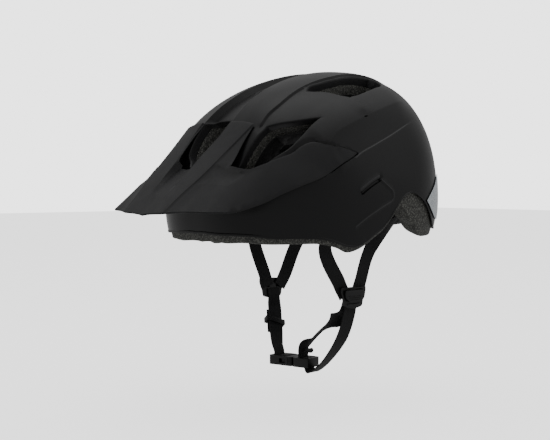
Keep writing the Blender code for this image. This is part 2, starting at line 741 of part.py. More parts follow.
def cavity_normal(turn, tilt):
    """The direction out of the head and into the liner, square to the cavity's wall."""
    across = on_cavity(turn + 0.5, tilt) - on_cavity(turn - 0.5, tilt)
    down = on_cavity(turn, tilt + 0.5) - on_cavity(turn, tilt - 0.5)
    normal = np.cross(across, down)
    normal /= np.linalg.norm(normal)
    return normal if normal @ (on_cavity(turn, tilt) - CENTRE) > 0.0 else -normal


def build_ring(mats):
    for side, label in ((1, "left"), (-1, "right")):
        band("headband_" + label, (side * RING_TEMPLE_TURN, side * (RING_REAR_TURN - 0.5)),
             (RING_TEMPLE_TILT, RING_REAR_TILT), BAND_HEIGHT, BAND_INSET, BAND_THICKNESS,
             mats["plastic"], 14)
        turn = side * (RING_TEMPLE_TURN + TEMPLE_ANCHOR_BEHIND)
        matrix = frame_matrix(on_cavity(turn, RING_TEMPLE_TILT), (0, 0, 1),
                              cavity_normal(turn, RING_TEMPLE_TILT))
        prism("temple_anchor_" + label, disc(TEMPLE_ANCHOR_RADIUS, 16), -0.7 * BAND_INSET,
              -0.25 * BAND_INSET, mats["plastic"], matrix)
    band("cradle", (RING_REAR_TURN, 360 - RING_REAR_TURN), (RING_REAR_TILT, RING_REAR_TILT),
         CRADLE_HEIGHT, CRADLE_INSET, CRADLE_THICKNESS, mats["plastic"], 14, 2, 0.55)
    band("cradle_pad", (RING_REAR_TURN + CRADLE_PAD_MARGIN,
                        360 - RING_REAR_TURN - CRADLE_PAD_MARGIN),
         (RING_REAR_TILT, RING_REAR_TILT), CRADLE_HEIGHT - CRADLE_PAD_MARGIN,
         CRADLE_INSET + CRADLE_THICKNESS + GAP, 4.0, mats["pad"], 10, 2, 0.7)


def reel_place():
    """The middle of the reel case's front face, behind the cradle."""
    back = on_cavity(180, RING_REAR_TILT, CRADLE_INSET)
    return np.array([0.0, back[1] + GAP + 0.6, back[2]])


def build_reel(mats):
    place = reel_place()
    matrix = frame_matrix(place, (1, 0, 0), (0, 1, 0))
    outline = rectangle(REEL_WIDTH, REEL_HEIGHT, 8.0, 3)
    case = prism("reel_housing", outline, REEL_WALL + GAP, REEL_DEPTH, mats["plastic"], matrix)
    hollow = prism("housing_hollow", disc(SPOOL_RADIUS + 1.0, 20), 0.0, REEL_DEPTH - REEL_WALL,
                   mats["plastic"], matrix)
    combine(case, hollow)
    neck = prism("housing_neck", disc(SCREW_RADIUS + 1.6, 16), 0.0, REEL_DEPTH + 1.0,
                 mats["plastic"], matrix)
    combine(case, neck)
    prism("reel_cover", outline, 0.0, REEL_WALL, mats["plastic"], matrix)
    low = REEL_WALL + 2 * GAP
    top = REEL_DEPTH - REEL_WALL - GAP
    ring_solid("reel_spool", disc(SPOOL_RADIUS, 20), disc(SCREW_RADIUS + GAP, 20), low, top,
               mats["hardware"], matrix)
    base = REEL_DEPTH + GAP
    grips = 18
    knurl = []
    for i in range(grips):
        for part, radius in ((0.0, DIAL_RADIUS), (0.3, DIAL_RADIUS), (0.45, DIAL_RADIUS - 0.9),
                             (0.85, DIAL_RADIUS - 0.9)):
            turn = 2 * math.pi * (i + part) / grips
            knurl.append((radius * math.cos(turn), radius * math.sin(turn)))
    dial = prism("adjuster_dial", knurl, base, base + DIAL_DEPTH, mats["dial"], matrix)
    bore = prism("dial_bore", disc(SCREW_RADIUS + GAP, 16), base - 1.0, base + DIAL_DEPTH + 1.0,
                 mats["dial"], matrix)
    combine(dial, bore)
    sink = prism("dial_sink", disc(SCREW_RADIUS + 2.0, 16), base + DIAL_DEPTH - 2.4,
                 base + DIAL_DEPTH + 1.0, mats["dial"], matrix)
    combine(dial, sink)
    screw(place, base, low, matrix, mats)


def screw(place, base, low, matrix, mats):
    """A pan head screw through dial and spool, turned about its axis."""
    head = base + DIAL_DEPTH - 2.4 + GAP
    profile = [(0.0, low), (SCREW_RADIUS, low), (SCREW_RADIUS, head), (SCREW_RADIUS + 1.4, head),
               (SCREW_RADIUS + 1.4, head + 1.0), (SCREW_RADIUS + 0.6, head + 1.6), (0.0, head + 1.6)]
    count = 14
    verts = [(0.0, 0.0, profile[0][1]), (0.0, 0.0, profile[-1][1])]
    for radius, z in profile[1:-1]:
        verts += [(radius * math.cos(2 * math.pi * i / count),
                   radius * math.sin(2 * math.pi * i / count), z) for i in range(count)]
    faces = []
    rows = len(profile) - 2
    for i in range(count):
        j = (i + 1) % count
        faces.append((0, 2 + j, 2 + i))
        faces.append((1, 2 + (rows - 1) * count + i, 2 + (rows - 1) * count + j))
        faces += [(2 + r * count + i, 2 + r * count + j, 2 + (r + 1) * count + j,
                   2 + (r + 1) * count + i) for r in range(rows - 1)]
    obj = new_object("dial_screw", verts, faces, mats["steel"])
    obj.matrix_world = matrix


def build_hanger(mats):
    """A flat stem from the liner's back wall down to the cradle."""
    top = on_cavity(180, HANGER_TILT, BAND_INSET)
    low = on_cavity(180, RING_REAR_TILT, CRADLE_INSET)
    low = low + np.array([0.0, 0.0, CRADLE_HEIGHT / 2 + 1.0])
    ribbon("cradle_hanger", [top, 0.5 * (top + low), low], [(1, 0, 0), (1, 0, 0)],
           mats["plastic"], HANGER_WIDTH, HANGER_THICKNESS, 4)


# ---------------------------------------------------------------- harness


def harness_points(side):
    """The places that one side's straps pass, from the cavity's own width."""
    x = side * (CAVITY_HALF_WIDTH - HARNESS_INSET)
    shift = 12.0 if side > 0 else -8.0    # the harness hangs a little further forward on the left
    return dict(front=np.array([x, -41.0 - shift, -128.0]),
                rear=np.array([x, 20.0 - shift, -129.0]),
                joint=np.array([x * 0.94, -13.0 - 0.3 * shift, -177.0]))


def build_harness(mats):
    for side, label in ((1, "left"), (-1, "right")):
        places = harness_points(side)
        spread = 0.5 * STRAP_WIDTH + GAP
        joint = places["joint"]
        v_strap("front_strap_" + label, "strap_anchor_front_" + label, side,
                STRAP_FRONT_TURN,
                places["front"], joint + np.array([0, -spread, 1.0]), mats)
        v_strap("rear_strap_" + label, "strap_anchor_rear_" + label, side,
                STRAP_REAR_TURN,
                places["rear"], joint + np.array([0, spread, 1.0]), mats)
        divider(label, side, joint, mats)


def v_strap(name, anchor, side, turn, rim, joint, mats):
    """One leg of the V, hung from an anchor plate on the cavity's wall."""
    turn *= side
    normal = cavity_normal(turn, ANCHOR_TILT)
    matrix = frame_matrix(on_cavity(turn, ANCHOR_TILT), (0, 0, 1), normal)
    prism(anchor, rectangle(ANCHOR_HEIGHT, ANCHOR_WIDTH, 2.0), -ANCHOR_IN, -ANCHOR_OUT,
          mats["plastic"], matrix)
    along = np.cross(normal, (0, 0, 1))
    along = along / np.linalg.norm(along) * (1 if along[1] > 0 else -1)
    sag = STRAP_WIDTH ** 2 / (8.0 * CAVITY_REAR)    # of the curved band behind a flat strap
    inside_band = BAND_INSET + BAND_THICKNESS + STRAP_THICKNESS + STRAP_BAND_GAP + sag
    lead = joint + (rim - joint) * (DIVIDER_HEIGHT * 0.6 / (rim[2] - joint[2]))
    lead[0] = joint[0]
    points = [on_cavity(turn, ANCHOR_TILT + 4.6, 3.6), on_cavity(turn, 86.0, inside_band),
              on_cavity(turn, 99.0, inside_band + 1.5), rim, lead, joint]
    forward = np.array([0.0, 1.0, 0.0])
    ribbon(name, points, [along, along, along, forward, forward, forward], mats["strap"],
           count=15)


def divider(label, side, joint, mats):
    """A plate over the place where the V's legs meet, with a lever on its outer face."""
    face = joint[0] + side * (0.5 * STRAP_THICKNESS + GAP)
    matrix = frame_matrix((face, joint[1], joint[2]), (0, side, 0), (side, 0, 0))
    prism("divider_" + label, rectangle(DIVIDER_WIDTH, DIVIDER_HEIGHT, 5.0, 3), 0.0,
          DIVIDER_THICKNESS, mats["plastic"], matrix)
    lever = frame_matrix(lever_hinge(side, joint), (0, side, 0), (side, 0, 0))
    below = 0.5 * LEVER_HEIGHT - LEVER_HINGE_INSET
    outline = [(x, y - below) for x, y in rectangle(LEVER_WIDTH, LEVER_HEIGHT, 3.0, 3)]
    prism("divider_lever_" + label, outline, -0.5 * LEVER_THICKNESS, 0.5 * LEVER_THICKNESS,
          mats["plastic"], lever)


def lever_hinge(side, joint):
    """The middle of a lever's hinge, above the divider's outer face."""
    out = 0.5 * STRAP_THICKNESS + 2 * GAP + DIVIDER_THICKNESS + 0.5 * LEVER_THICKNESS
    return joint + np.array([side * out, 0.0, 0.5 * LEVER_HEIGHT])


def buckle_axes():
    turn = math.radians(BUCKLE_TURN)
    return (np.array([math.cos(turn), math.sin(turn), 0.0]),
            np.array([-math.sin(turn), math.cos(turn), 0.0]))


def in_buckle(along, across=0.0, up=0.0):
    u, v = buckle_axes()
    return np.array(BUCKLE_PLACE) + u * along + v * across + np.array([0.0, 0.0, up])


def buckle_block(name, low, high, width, height, mats, corner=0.0):
    """A block along the buckle, from low to high."""
    matrix = frame_matrix(in_buckle(0.5 * (low + high), 0.0, -0.5 * height),
                          buckle_axes()[0], (0, 0, 1))
    return prism(name, rectangle(high - low, width, corner, 3), 0.0, height, mats["plastic"],
                 matrix)


def strap_slot(name, owner, middle, mats):
    width = STRAP_WIDTH + 1.6
    combine(owner, buckle_block(name, middle - 0.5 * SLOT_LENGTH, middle + 0.5 * SLOT_LENGTH,
                                width, BUCKLE_HEIGHT + 4.0, mats))


def build_buckle(mats):
    female = buckle_block("buckle_female", BUCKLE_SEAM - FEMALE_LENGTH, BUCKLE_SEAM, BUCKLE_WIDTH,
                          BUCKLE_HEIGHT, mats, 3.0)
    hollow_width = BUCKLE_WIDTH - 2 * BUCKLE_WALL
    hollow_height = BUCKLE_HEIGHT - 2 * BUCKLE_WALL
    deep = BUCKLE_SEAM - PRONG_LENGTH - 1.0
    combine(female, buckle_block("female_hollow", deep, BUCKLE_SEAM + 2.0, hollow_width,
                                 hollow_height, mats))
    combine(female, buckle_block("female_windows", deep + 1.0, deep + 8.0, BUCKLE_WIDTH + 4.0,
                                 hollow_height - 1.0, mats))
    strap_slot("female_slot", female, FEMALE_SLOT, mats)
    male = buckle_block("buckle_male", BUCKLE_SEAM + GAP, BUCKLE_SEAM + MALE_LENGTH, BUCKLE_WIDTH,
                        BUCKLE_HEIGHT, mats, 3.0)
    strap_slot("male_slot", male, MALE_SLOT, mats)
    strap_slot("male_inner_slot", male, MALE_INNER_SLOT, mats)
    prongs(male, hollow_width, hollow_height, mats)


def prongs(male, hollow_width, hollow_height, mats):
    """Two side arms with wide heads and a middle guide, joined to the male half."""
    tip = BUCKLE_SEAM - PRONG_LENGTH
    root = BUCKLE_SEAM + 2.0
    head = 0.5 * hollow_width - GAP
    inner = head - PRONG_WIDTH - 1.0
    arm = [(root, inner), (root, inner + PRONG_WIDTH), (tip + 6.0, inner + PRONG_WIDTH),
           (tip + 5.0, head), (tip + 1.5, head), (tip, head - 1.5), (tip, inner)]
    guide = [(root, 2.4), (tip + 4.0, 1.6), (tip + 4.0, -1.6), (root, -2.4)]
    height = hollow_height - 2 * GAP
    matrix = frame_matrix(in_buckle(0.0, 0.0, -0.5 * height), buckle_axes()[0], (0, 0, 1))
    for name, outline in (("prong_back", arm), ("prong_front", [(x, -y) for x, y in arm[::-1]]),
                          ("prong_guide", guide)):
        part = prism(name, outline, 0.0, height, mats["plastic"], matrix)
        combine(male, part, "UNION")


def build_chin_straps(mats):
    u, v = buckle_axes()
    joint = harness_points(-1)["joint"]
    slot = in_buckle(FEMALE_SLOT)
    lean = in_buckle(FEMALE_SLOT - 5.5, 3.5, 15.0)
    inwards = 0.036 * (lean[0] - joint[0])    # so that the bend stays clear of the divider
    right = joint + np.array([inwards, 0.0, -0.5 * DIVIDER_HEIGHT - 4.0])
    points = [joint - np.array([0.0, 0.0, 1.0]), right, right + (lean - right) / 3.0,
              right + (lean - right) * 2.0 / 3.0, lean,
              slot + np.array([-0.8, 0.6, 7.5]), slot + np.array([0, 0, 1.0]),
              slot + np.array([0, 0, -3.5])]
    forward = np.array([0.0, 1.0, 0.0])
    ribbon("chin_strap_right", points, [forward, forward, forward, forward, v, v, v, v],
           mats["strap"], count=21)
    along = (lean - right) / np.linalg.norm(lean - right)
    wide = forward - forward.dot(along) * along
    wide /= np.linalg.norm(wide)
    out = np.cross(along, wide)
    out *= -1.0 if out[0] > 0 else 1.0
    beside = out * (STRAP_THICKNESS + TAIL_GAP) - wide * TAIL_ASIDE
    start, end = right + along * TAIL_LEAD + beside, lean - along * TAIL_REST + beside
    ribbon("strap_tail_right", [start, end], [wide, wide], mats["strap"], count=2)
    keeper = right + along * KEEPER_DROP + 0.5 * beside
    matrix = frame_matrix(keeper, wide, along)
    across, through = STRAP_WIDTH + TAIL_ASIDE + 1.4, 2 * STRAP_THICKNESS + TAIL_GAP + 0.8
    hole = rectangle(across, through)
    rim = rectangle(across + 2 * KEEPER_WALL, through + 2 * KEEPER_WALL)
    ring_solid("strap_keeper", rim, hole, -0.5 * KEEPER_LENGTH, 0.5 * KEEPER_LENGTH,
               mats["plastic"], matrix)
    left_strands(forward, v, mats)


def left_strands(forward, v, mats):
    """The left strap runs down to the buckle's outer slot and back up from its inner one."""
    left = harness_points(1)["joint"]
    outer = in_buckle(MALE_SLOT)
    inner = in_buckle(MALE_INNER_SLOT)
    down = [left + np.array([0.0, 0.0, -1.0]), left + np.array([-2.5, 0.0, -18.0]),
            left + np.array([-9.0, -4.0, -41.0]), left + np.array([-24.0, -9.0, -63.0]),
            outer + np.array([5.0, 1.0, -8.8]), outer + np.array([0.3, 0, -6.0]),
            outer + np.array([0, 0, 2.5])]
    ribbon("chin_strap_left", down, [forward, forward, forward, v, v, v, v], mats["strap"],
           count=18)
    face = np.array([0.766, -0.643, 0.0])
    back = STRAP_THICKNESS + GAP
    up = [left + np.array([-back, 0.0, -1.0]), left + np.array([-back - 5.0, -3.0, -16.0]),
          left + np.array([-22.0, -14.0, -31.0]), left + np.array([-38.0, -17.0, -46.0]),
          inner + np.array([1.0, 0.0, 9.0]), inner + np.array([0, 0, 1.0]),
          inner + np.array([0, 0, -3.5])]
    ribbon("chin_strap_left_return", up, [forward, forward, face, face, v, v, v], mats["strap"],
           count=18)


# ---------------------------------------------------------------- everything


def make_materials():
    return dict(
        shell=material("shell_black", (0.022, 0.022, 0.024), 0.42),
        visor=material("visor_black", (0.028, 0.028, 0.030), 0.5),
        foam=material("liner_foam", (0.06, 0.06, 0.058), 0.8),
        pad=material("pad_cloth", (0.02, 0.02, 0.022), 0.9),
        plastic=material("moulded_plastic", (0.015, 0.015, 0.016), 0.45),
        hardware=material("pivot_plastic", (0.02, 0.02, 0.02), 0.4),
        dial=material("dial_rubber", (0.02, 0.02, 0.021), 0.7),
        steel=material("screw_steel", (0.4, 0.4, 0.42), 0.35, 1.0),
        strap=material("strap_webbing", (0.012, 0.012, 0.013), 0.8),
        reflector=material("reflector_silver", (0.6, 0.63, 0.66), 0.3, 0.2))


def build_helmet():
    clear_scene()
    mats = make_materials()
    build_shell(mats)
    build_liner(mats)
    build_visor(mats)
    build_pivots(mats)
    build_reflectors(mats)
    build_pads(mats)
    build_ring(mats)
    build_reel(mats)
    build_hanger(mats)
    build_harness(mats)
    build_buckle(mats)
    build_chin_straps(mats)
    place_axes()


def place_axes():
    """Empties on the axes that several pieces move about together."""
    pivot = pivot_place()
    carry("visor_axis", (0.0, pivot[1], pivot[2]),
          ["visor", "visor_pivot_left", "visor_pivot_right"])
    slide = carry("cradle_slide", reel_place(),
                  ["cradle", "cradle_pad", "reel_housing", "reel_cover"])
    dial = carry("dial_axis", reel_place(), ["adjuster_dial", "reel_spool", "dial_screw"])
    dial.parent = slide
    dial.matrix_parent_inverse = slide.matrix_world.inverted()


def carry(name, place, pieces):
    """An empty that carries these pieces, which stay where they are."""
    empty = bpy.data.objects.new(name, None)
    bpy.context.scene.collection.objects.link(empty)
    empty.matrix_world = Matrix.Translation(Vector(place) * MM)
    for piece in pieces:
        obj = bpy.data.objects[piece]
        obj.parent = empty
        obj.matrix_parent_inverse = empty.matrix_world.inverted()
    return empty


build_helmet()
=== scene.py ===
# %% [markdown]
# # A trail cycling helmet
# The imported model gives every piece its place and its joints. This lesson builds the finished
# surfaces around it: a thin moulded shell over an expanded foam liner, a peaked visor, the
# harness and its small plastic parts. Sizes are in millimetres, and +Z is up, the wearer
# faces -Y and the wearer's left is +X.

# %% Load the frame
import json
import math

import bmesh
import bpy
import numpy as np
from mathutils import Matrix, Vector, kdtree
from mathutils.geometry import delaunay_2d_cdt


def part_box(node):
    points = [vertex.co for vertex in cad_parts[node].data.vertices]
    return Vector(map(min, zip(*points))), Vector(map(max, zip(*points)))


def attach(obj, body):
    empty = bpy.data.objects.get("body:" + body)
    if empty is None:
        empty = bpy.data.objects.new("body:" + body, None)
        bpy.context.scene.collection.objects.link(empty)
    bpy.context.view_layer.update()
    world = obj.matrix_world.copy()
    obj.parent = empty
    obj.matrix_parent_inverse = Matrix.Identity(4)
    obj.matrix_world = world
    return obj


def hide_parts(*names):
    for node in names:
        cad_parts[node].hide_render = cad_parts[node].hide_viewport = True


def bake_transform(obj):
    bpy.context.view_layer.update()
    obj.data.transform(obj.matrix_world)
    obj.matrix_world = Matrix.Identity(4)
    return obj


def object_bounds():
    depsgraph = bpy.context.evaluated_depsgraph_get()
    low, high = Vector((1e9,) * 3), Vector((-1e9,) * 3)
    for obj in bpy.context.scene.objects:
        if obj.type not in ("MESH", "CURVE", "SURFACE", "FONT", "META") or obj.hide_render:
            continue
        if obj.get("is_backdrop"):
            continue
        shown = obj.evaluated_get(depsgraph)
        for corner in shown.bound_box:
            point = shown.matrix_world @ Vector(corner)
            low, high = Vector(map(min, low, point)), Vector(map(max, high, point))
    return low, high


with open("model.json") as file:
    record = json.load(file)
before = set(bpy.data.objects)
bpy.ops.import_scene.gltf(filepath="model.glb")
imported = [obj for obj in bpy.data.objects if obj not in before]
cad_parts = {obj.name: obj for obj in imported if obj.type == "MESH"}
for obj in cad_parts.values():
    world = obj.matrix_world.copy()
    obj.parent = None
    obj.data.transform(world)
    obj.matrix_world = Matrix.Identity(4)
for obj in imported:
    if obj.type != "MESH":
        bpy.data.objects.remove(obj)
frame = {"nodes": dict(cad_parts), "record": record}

cad_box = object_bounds()
nodes = frame["nodes"]
MM = 0.001

# %% [markdown]
# ## The helmet's form
# A helmet is a smooth egg with everything else cut into it. Each direction from the middle
# of the head meets the egg at one distance: an ellipse in plan and in profile, but with an
# exponent that makes the forehead squarer and the back rounder. A drawing of the helmet is
# then a flat map: a map point (p, q) lies hypot(p, q) degrees from straight up, towards the
# wearer's left for +p and towards the back for +q. Outlines, ribs and creases are drawn on
# the map, and thickness and relief only change the distance.

# %% Form and map
SHELL_THICKNESS = 1.2
FOAM_BELOW = 2.3             # the liner's outside lies this far below the form
CENTRE = np.array([0.0, 20.0, -85.6])
OUTER = dict(width=106.0, front=175.0, rear=102.0, height=124.0, drop_front=150.0,
             drop_rear=86.0, plan=(2.8, 1.8), side=(2.07, 2.17), egg=-0.07)
CAVITY = dict(width=82.0, front=142.0, rear=70.0, height=94.0, drop_front=190.0,
              drop_rear=170.0, plan=(2.3, 2.1), side=(2.1, 2.2), egg=0.0)


def smooth(t):
    """Eases from 0 to 1."""
    t = np.clip(t, 0.0, 1.0)
    return t * t * (3.0 - 2.0 * t)


def form_distance(d, form):
    """How far the form's surface lies from the middle in each direction."""
    back = smooth(0.5 + 0.5 * d[..., 1])
    width = form["width"] * (1.0 + form["egg"] * d[..., 1])
    length = np.where(d[..., 1] < 0.0, form["front"], form["rear"])
    drop = form["drop_front"] * (1.0 - back) + form["drop_rear"] * back
    height = np.where(d[..., 2] > 0.0, form["height"], drop)
    n = form["plan"][0] * (1.0 - back) + form["plan"][1] * back
    m = form["side"][0] * (1.0 - back) + form["side"][1] * back
    plan = (np.abs(d[..., 0] / width) ** n + np.abs(d[..., 1] / length) ** n) ** (1.0 / n)
    return (plan ** m + np.abs(d[..., 2] / height) ** m) ** (-1.0 / m)


def direction(points):
    """The unit direction of each map point, as seen from the middle of the head."""
    away = np.hypot(points[..., 0], points[..., 1])
    angle = np.radians(away)
    share = np.where(away > 1e-9, np.sin(angle) / np.maximum(away, 1e-9), math.pi / 180.0)
    return np.stack([share * points[..., 0], share * points[..., 1], np.cos(angle)], -1)


def on_form(points, form, lift=0.0):
    """Map points placed on a form, raised by lift."""
    d = direction(np.asarray(points, float))
    return CENTRE + d * (form_distance(d, form) + lift)[..., None]


def polar(turn, tilt):
    """The map point at a turn from the front towards the left, and a tilt from the top."""
    return tilt * math.sin(math.radians(turn)), -tilt * math.cos(math.radians(turn))


print("shell half width at the ears:", round(on_form([[90.0, 0.0]], OUTER)[0, 0], 1), "mm")

# %% [markdown]
# ## Camera, floor and light
# The helmet is shown as on a stand: three quarters from the front and level with its rim.
# The floor and the background are one pale surface, lit by large soft panels, so black
# plastic shows its shape by what it reflects.


# %% Camera
def placed_object(name, data):
    """A new object of the scene."""
    obj = bpy.data.objects.new(name, data)
    bpy.context.scene.collection.objects.link(obj)
    return obj


AIM = Vector((0.0, -0.059, -0.106))
AZIMUTH, ELEVATION, DISTANCE = math.radians(50.0), math.radians(2.0), 1.1
back = Vector((math.sin(AZIMUTH) * math.cos(ELEVATION), -math.cos(AZIMUTH) * math.cos(ELEVATION),
               math.sin(ELEVATION)))
camera = placed_object("camera", bpy.data.cameras.new("camera"))
camera.data.sensor_width = 36.0
camera.data.lens = 75.6
camera.location = AIM + back * DISTANCE
camera.rotation_euler = back.to_track_quat("Z", "Y").to_euler()
bpy.context.scene.camera = camera
print("camera", tuple(round(v, 3) for v in camera.location))


# %% Floor and lights
def mesh_object(name, verts, faces, mat=None, unit=MM):
    """An object from points and faces."""
    mesh = bpy.data.meshes.new(name)
    mesh.from_pydata([tuple(np.asarray(v, float) * unit) for v in verts], [], faces)
    mesh.validate()
    if mat is not None:
        mesh.materials.append(mat)
    return placed_object(name, mesh)


world = bpy.data.worlds.new("studio")
world.use_nodes = True
sky = world.node_tree
seen, given, path, either, spot, split, fade = [sky.nodes["Background"]] + [
    sky.nodes.new("ShaderNode" + kind) for kind in ("Background", "LightPath", "MixShader",
                                                    "TexCoord", "SeparateXYZ", "ValToRGB")]
SEEN_STRENGTH, GIVEN_STRENGTH = 3.0, 0.62
for shade, strength in ((seen, SEEN_STRENGTH), (given, GIVEN_STRENGTH)):
    shade.inputs["Color"].default_value = (1.0, 1.0, 1.0, 1.0)
    shade.inputs["Strength"].default_value = strength
fade.color_ramp.elements.new(0.5)
for element, (place, level) in zip(fade.color_ramp.elements,
                                   ((0.0, 0.75), (0.30, 0.62), (0.95, 1.0))):
    element.position = place
    element.color = (level, level, level, 1.0)
for start, end in ((spot.outputs["Generated"], split.inputs[0]),
                   (split.outputs["Z"], fade.inputs[0]),
                   (fade.outputs["Color"], given.inputs["Color"]),
                   (path.outputs["Is Camera Ray"], either.inputs[0]),
                   (given.outputs[0], either.inputs[1]), (seen.outputs[0], either.inputs[2]),
                   (either.outputs[0], sky.nodes["World Output"].inputs["Surface"])):
    sky.links.new(start, end)
bpy.context.scene.world = world
for name, place, target, size, power in (
        ("top_panel", (0.1, 0.1, 1.5), (0.0, 0.0, -0.05), 1.6, 5.0),
        ("key_panel", (-0.9, -1.6, 0.9), (0.0, -0.05, -0.1), 1.0, 3.0),
        ("rim_panel", (1.3, 1.1, 0.6), (0.05, 0.0, -0.1), 0.9, 0.8)):
    panel = placed_object(name, bpy.data.lights.new(name, "AREA"))
    panel.data.shape, panel.data.energy = "RECTANGLE", power
    panel.data.size = panel.data.size_y = size
    panel.location = place
    panel.rotation_euler = (Vector(place) - Vector(target)).to_track_quat("Z", "Y").to_euler()
FLOOR = -0.285
floor = mesh_object("floor", [(-6, -6, FLOOR), (6, -6, FLOOR), (6, 6, FLOOR), (-6, 6, FLOOR)],
                    [(0, 1, 2, 3)], unit=1.0)
floor.visible_glossy = False
floor.visible_diffuse = False
floor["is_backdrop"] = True

# %% [markdown]
# ## Writing shaders as sums
# A finish is easier to read as arithmetic than as a drawing of wires. `Wire` wraps one
# socket, and each operator adds the Math node it stands for.


# %% Shader helpers
class Wire:
    """One output socket, with arithmetic that adds nodes."""

    def __init__(self, paint, socket):
        self.paint = paint
        self.socket = socket

    def _math(self, operation, a, b):
        return self.paint.node("ShaderNodeMath", {"operation": operation}, {0: a, 1: b})

    def __add__(self, other):
        return self._math("ADD", self, other)

    def __radd__(self, other):
        return self._math("ADD", other, self)

    def __sub__(self, other):
        return self._math("SUBTRACT", self, other)

    def __rsub__(self, other):
        return self._math("SUBTRACT", other, self)

    def __mul__(self, other):
        return self._math("MULTIPLY", self, other)

    def __rmul__(self, other):
        return self._math("MULTIPLY", other, self)

    def __truediv__(self, other):
        return self._math("DIVIDE", self, other)

    def __pow__(self, other):
        return self._math("POWER", self, other)


class Paint:
    """A material and its shader, with one method that adds any node."""

    def __init__(self, name, color=(0.02, 0.02, 0.02), roughness=0.5, **plain):
        self.mat = bpy.data.materials.new(name)
        self.mat.use_nodes = True
        self.tree = self.mat.node_tree
        self.shader = self.tree.nodes["Principled BSDF"]
        self.set(Roughness=roughness, **{"Base Color": color}, **plain)

    def set(self, **values):
        for key, value in values.items():
            self._feed(self.shader.inputs[key.replace("_", " ")], value)

    def _feed(self, socket, value):
        if isinstance(value, Wire):
            self.tree.links.new(value.socket, socket)
        elif isinstance(value, (tuple, list)) and len(value) == 3 and socket.type == "RGBA":
            socket.default_value = (*value, 1.0)
        else:
            socket.default_value = value

    def node(self, kind, settings=None, values=None, output=0):
        made = self.tree.nodes.new(kind)
        for key, value in (settings or {}).items():
            if key == "stops":
                ramp = made.color_ramp
                while len(ramp.elements) < len(value):
                    ramp.elements.new(0.5)
                for element, (place, level) in zip(ramp.elements, value):
                    element.position = place
                    element.color = (level, level, level, 1.0)
            else:
                setattr(made, key, value)
        for key, value in (values or {}).items():
            self._feed(made.inputs[key], value)
        return Wire(self, made.outputs[output])

    def where(self):
        return self.node("ShaderNodeTexCoord", output="Object")

    def noise(self, scale, detail=2.0, rough=0.5):
        return self.node("ShaderNodeTexNoise", {},
                         {"Vector": self.where(), "Scale": scale, "Detail": detail,
                          "Roughness": rough}, "Fac")

    def cells(self, scale, feature="F1", output="Distance"):
        return self.node("ShaderNodeTexVoronoi", {"feature": feature},
                         {"Vector": self.where(), "Scale": scale}, output)

    def ramp(self, value, *stops):
        return self.node("ShaderNodeValToRGB", {"stops": stops}, {"Fac": value})

    def attribute(self, name):
        return self.node("ShaderNodeAttribute", {"attribute_name": name}, output="Fac")

    def mix(self, factor, a, b):
        return self.node("ShaderNodeMix", {"data_type": "RGBA"}, {0: factor, 6: a, 7: b}, 2)

    def sine(self, value):
        return self.node("ShaderNodeMath", {"operation": "SINE"}, {0: value})

    def bump(self, height, strength, distance):
        return self.node("ShaderNodeBump", {}, {"Height": height, "Strength": strength,
                                                "Distance": distance})


print("shader helpers ready")

# %% [markdown]
# ## Finishes
# Almost everything on this helmet is black, so the finishes differ in how they scatter
# light: a satin shell with a glossier printed band, a visor with a fine moulded grain, foam
# beads fused into a speckled block, woven straps and smooth clips.

# %% Shell, visor and foam finishes
SHELL_TONE, VISOR_TONE = (0.006, 0.006, 0.0065), (0.009, 0.009, 0.010)
shell_paint = Paint("shell_black", SHELL_TONE, 0.33, Specular_IOR_Level=0.3)
band = shell_paint.attribute("band")
cloud = shell_paint.noise(60.0, 3.0)
crest, painted_flange_light = shell_paint.attribute("crest"), shell_paint.attribute("turned")
# Painted light: the turned-in vent edges marked by the turned attribute get a lighter tone where
# they lie in shade.
shell_tone_with_flange_light = shell_paint.mix(painted_flange_light, SHELL_TONE, (0.022, 0.022, 0.023))
# Painted highlight: where the crest attribute is set, the base colour turns lighter in thin bright
# lines.
shell_paint.set(Base_Color=shell_paint.mix(crest, shell_tone_with_flange_light, (0.045, 0.045, 0.048)),
                Roughness=0.30 + 0.08 * cloud - 0.17 * band,
                Normal=shell_paint.bump(shell_paint.noise(2600.0, 2.0), 0.10, 0.0002))

visor_paint = Paint("visor_black", VISOR_TONE, 0.45, Specular_IOR_Level=0.35)
grain = visor_paint.noise(2200.0, 3.0, 0.6)
# Painted shade: where the groove attribute is set, the visor turns nearly black along its grooves
# and edges.
visor_paint.set(Base_Color=visor_paint.mix(visor_paint.attribute("groove"), VISOR_TONE,
                                           (0.0015, 0.0015, 0.002)),
                Roughness=0.42 + 0.12 * visor_paint.noise(90.0, 2.0),
                Normal=visor_paint.bump(grain, 0.22, 0.0003))

foam_paint = Paint("liner_foam", (0.05, 0.05, 0.047), 0.75)
bead = foam_paint.cells(330.0)
tint = foam_paint.cells(330.0, output="Color")
light = foam_paint.node("ShaderNodeSeparateColor", {}, {"Color": tint}, "Red")
seams = foam_paint.ramp(bead, (0.0, 1.0), (0.55, 0.55), (0.8, 0.1))
speck = foam_paint.ramp(foam_paint.noise(700.0, 2.0), (0.50, 0.0), (0.62, 1.0))
# Painted shade: where the hollow attribute is set, the foam turns nearly black and loses its bead
# speckle, as shade in the head cavity and deep in the vents. The speckle itself is the beads' own
# tone.
hollow = foam_paint.attribute("hollow")
bead_speckle_and_painted_shade = (speck * 0.9 + light * 0.35) * (1.0 - hollow)
dark_foam_and_painted_shade = foam_paint.mix(hollow, (0.016, 0.016, 0.014), (0.0012, 0.0012, 0.0012))
foam_paint.set(Base_Color=foam_paint.mix(bead_speckle_and_painted_shade, dark_foam_and_painted_shade, (0.135, 0.135, 0.122)),
               Roughness=0.62 + 0.2 * light,
               Normal=foam_paint.bump(seams + 0.35 * light, 0.5, 0.0006))
print("shell, visor and foam finishes")

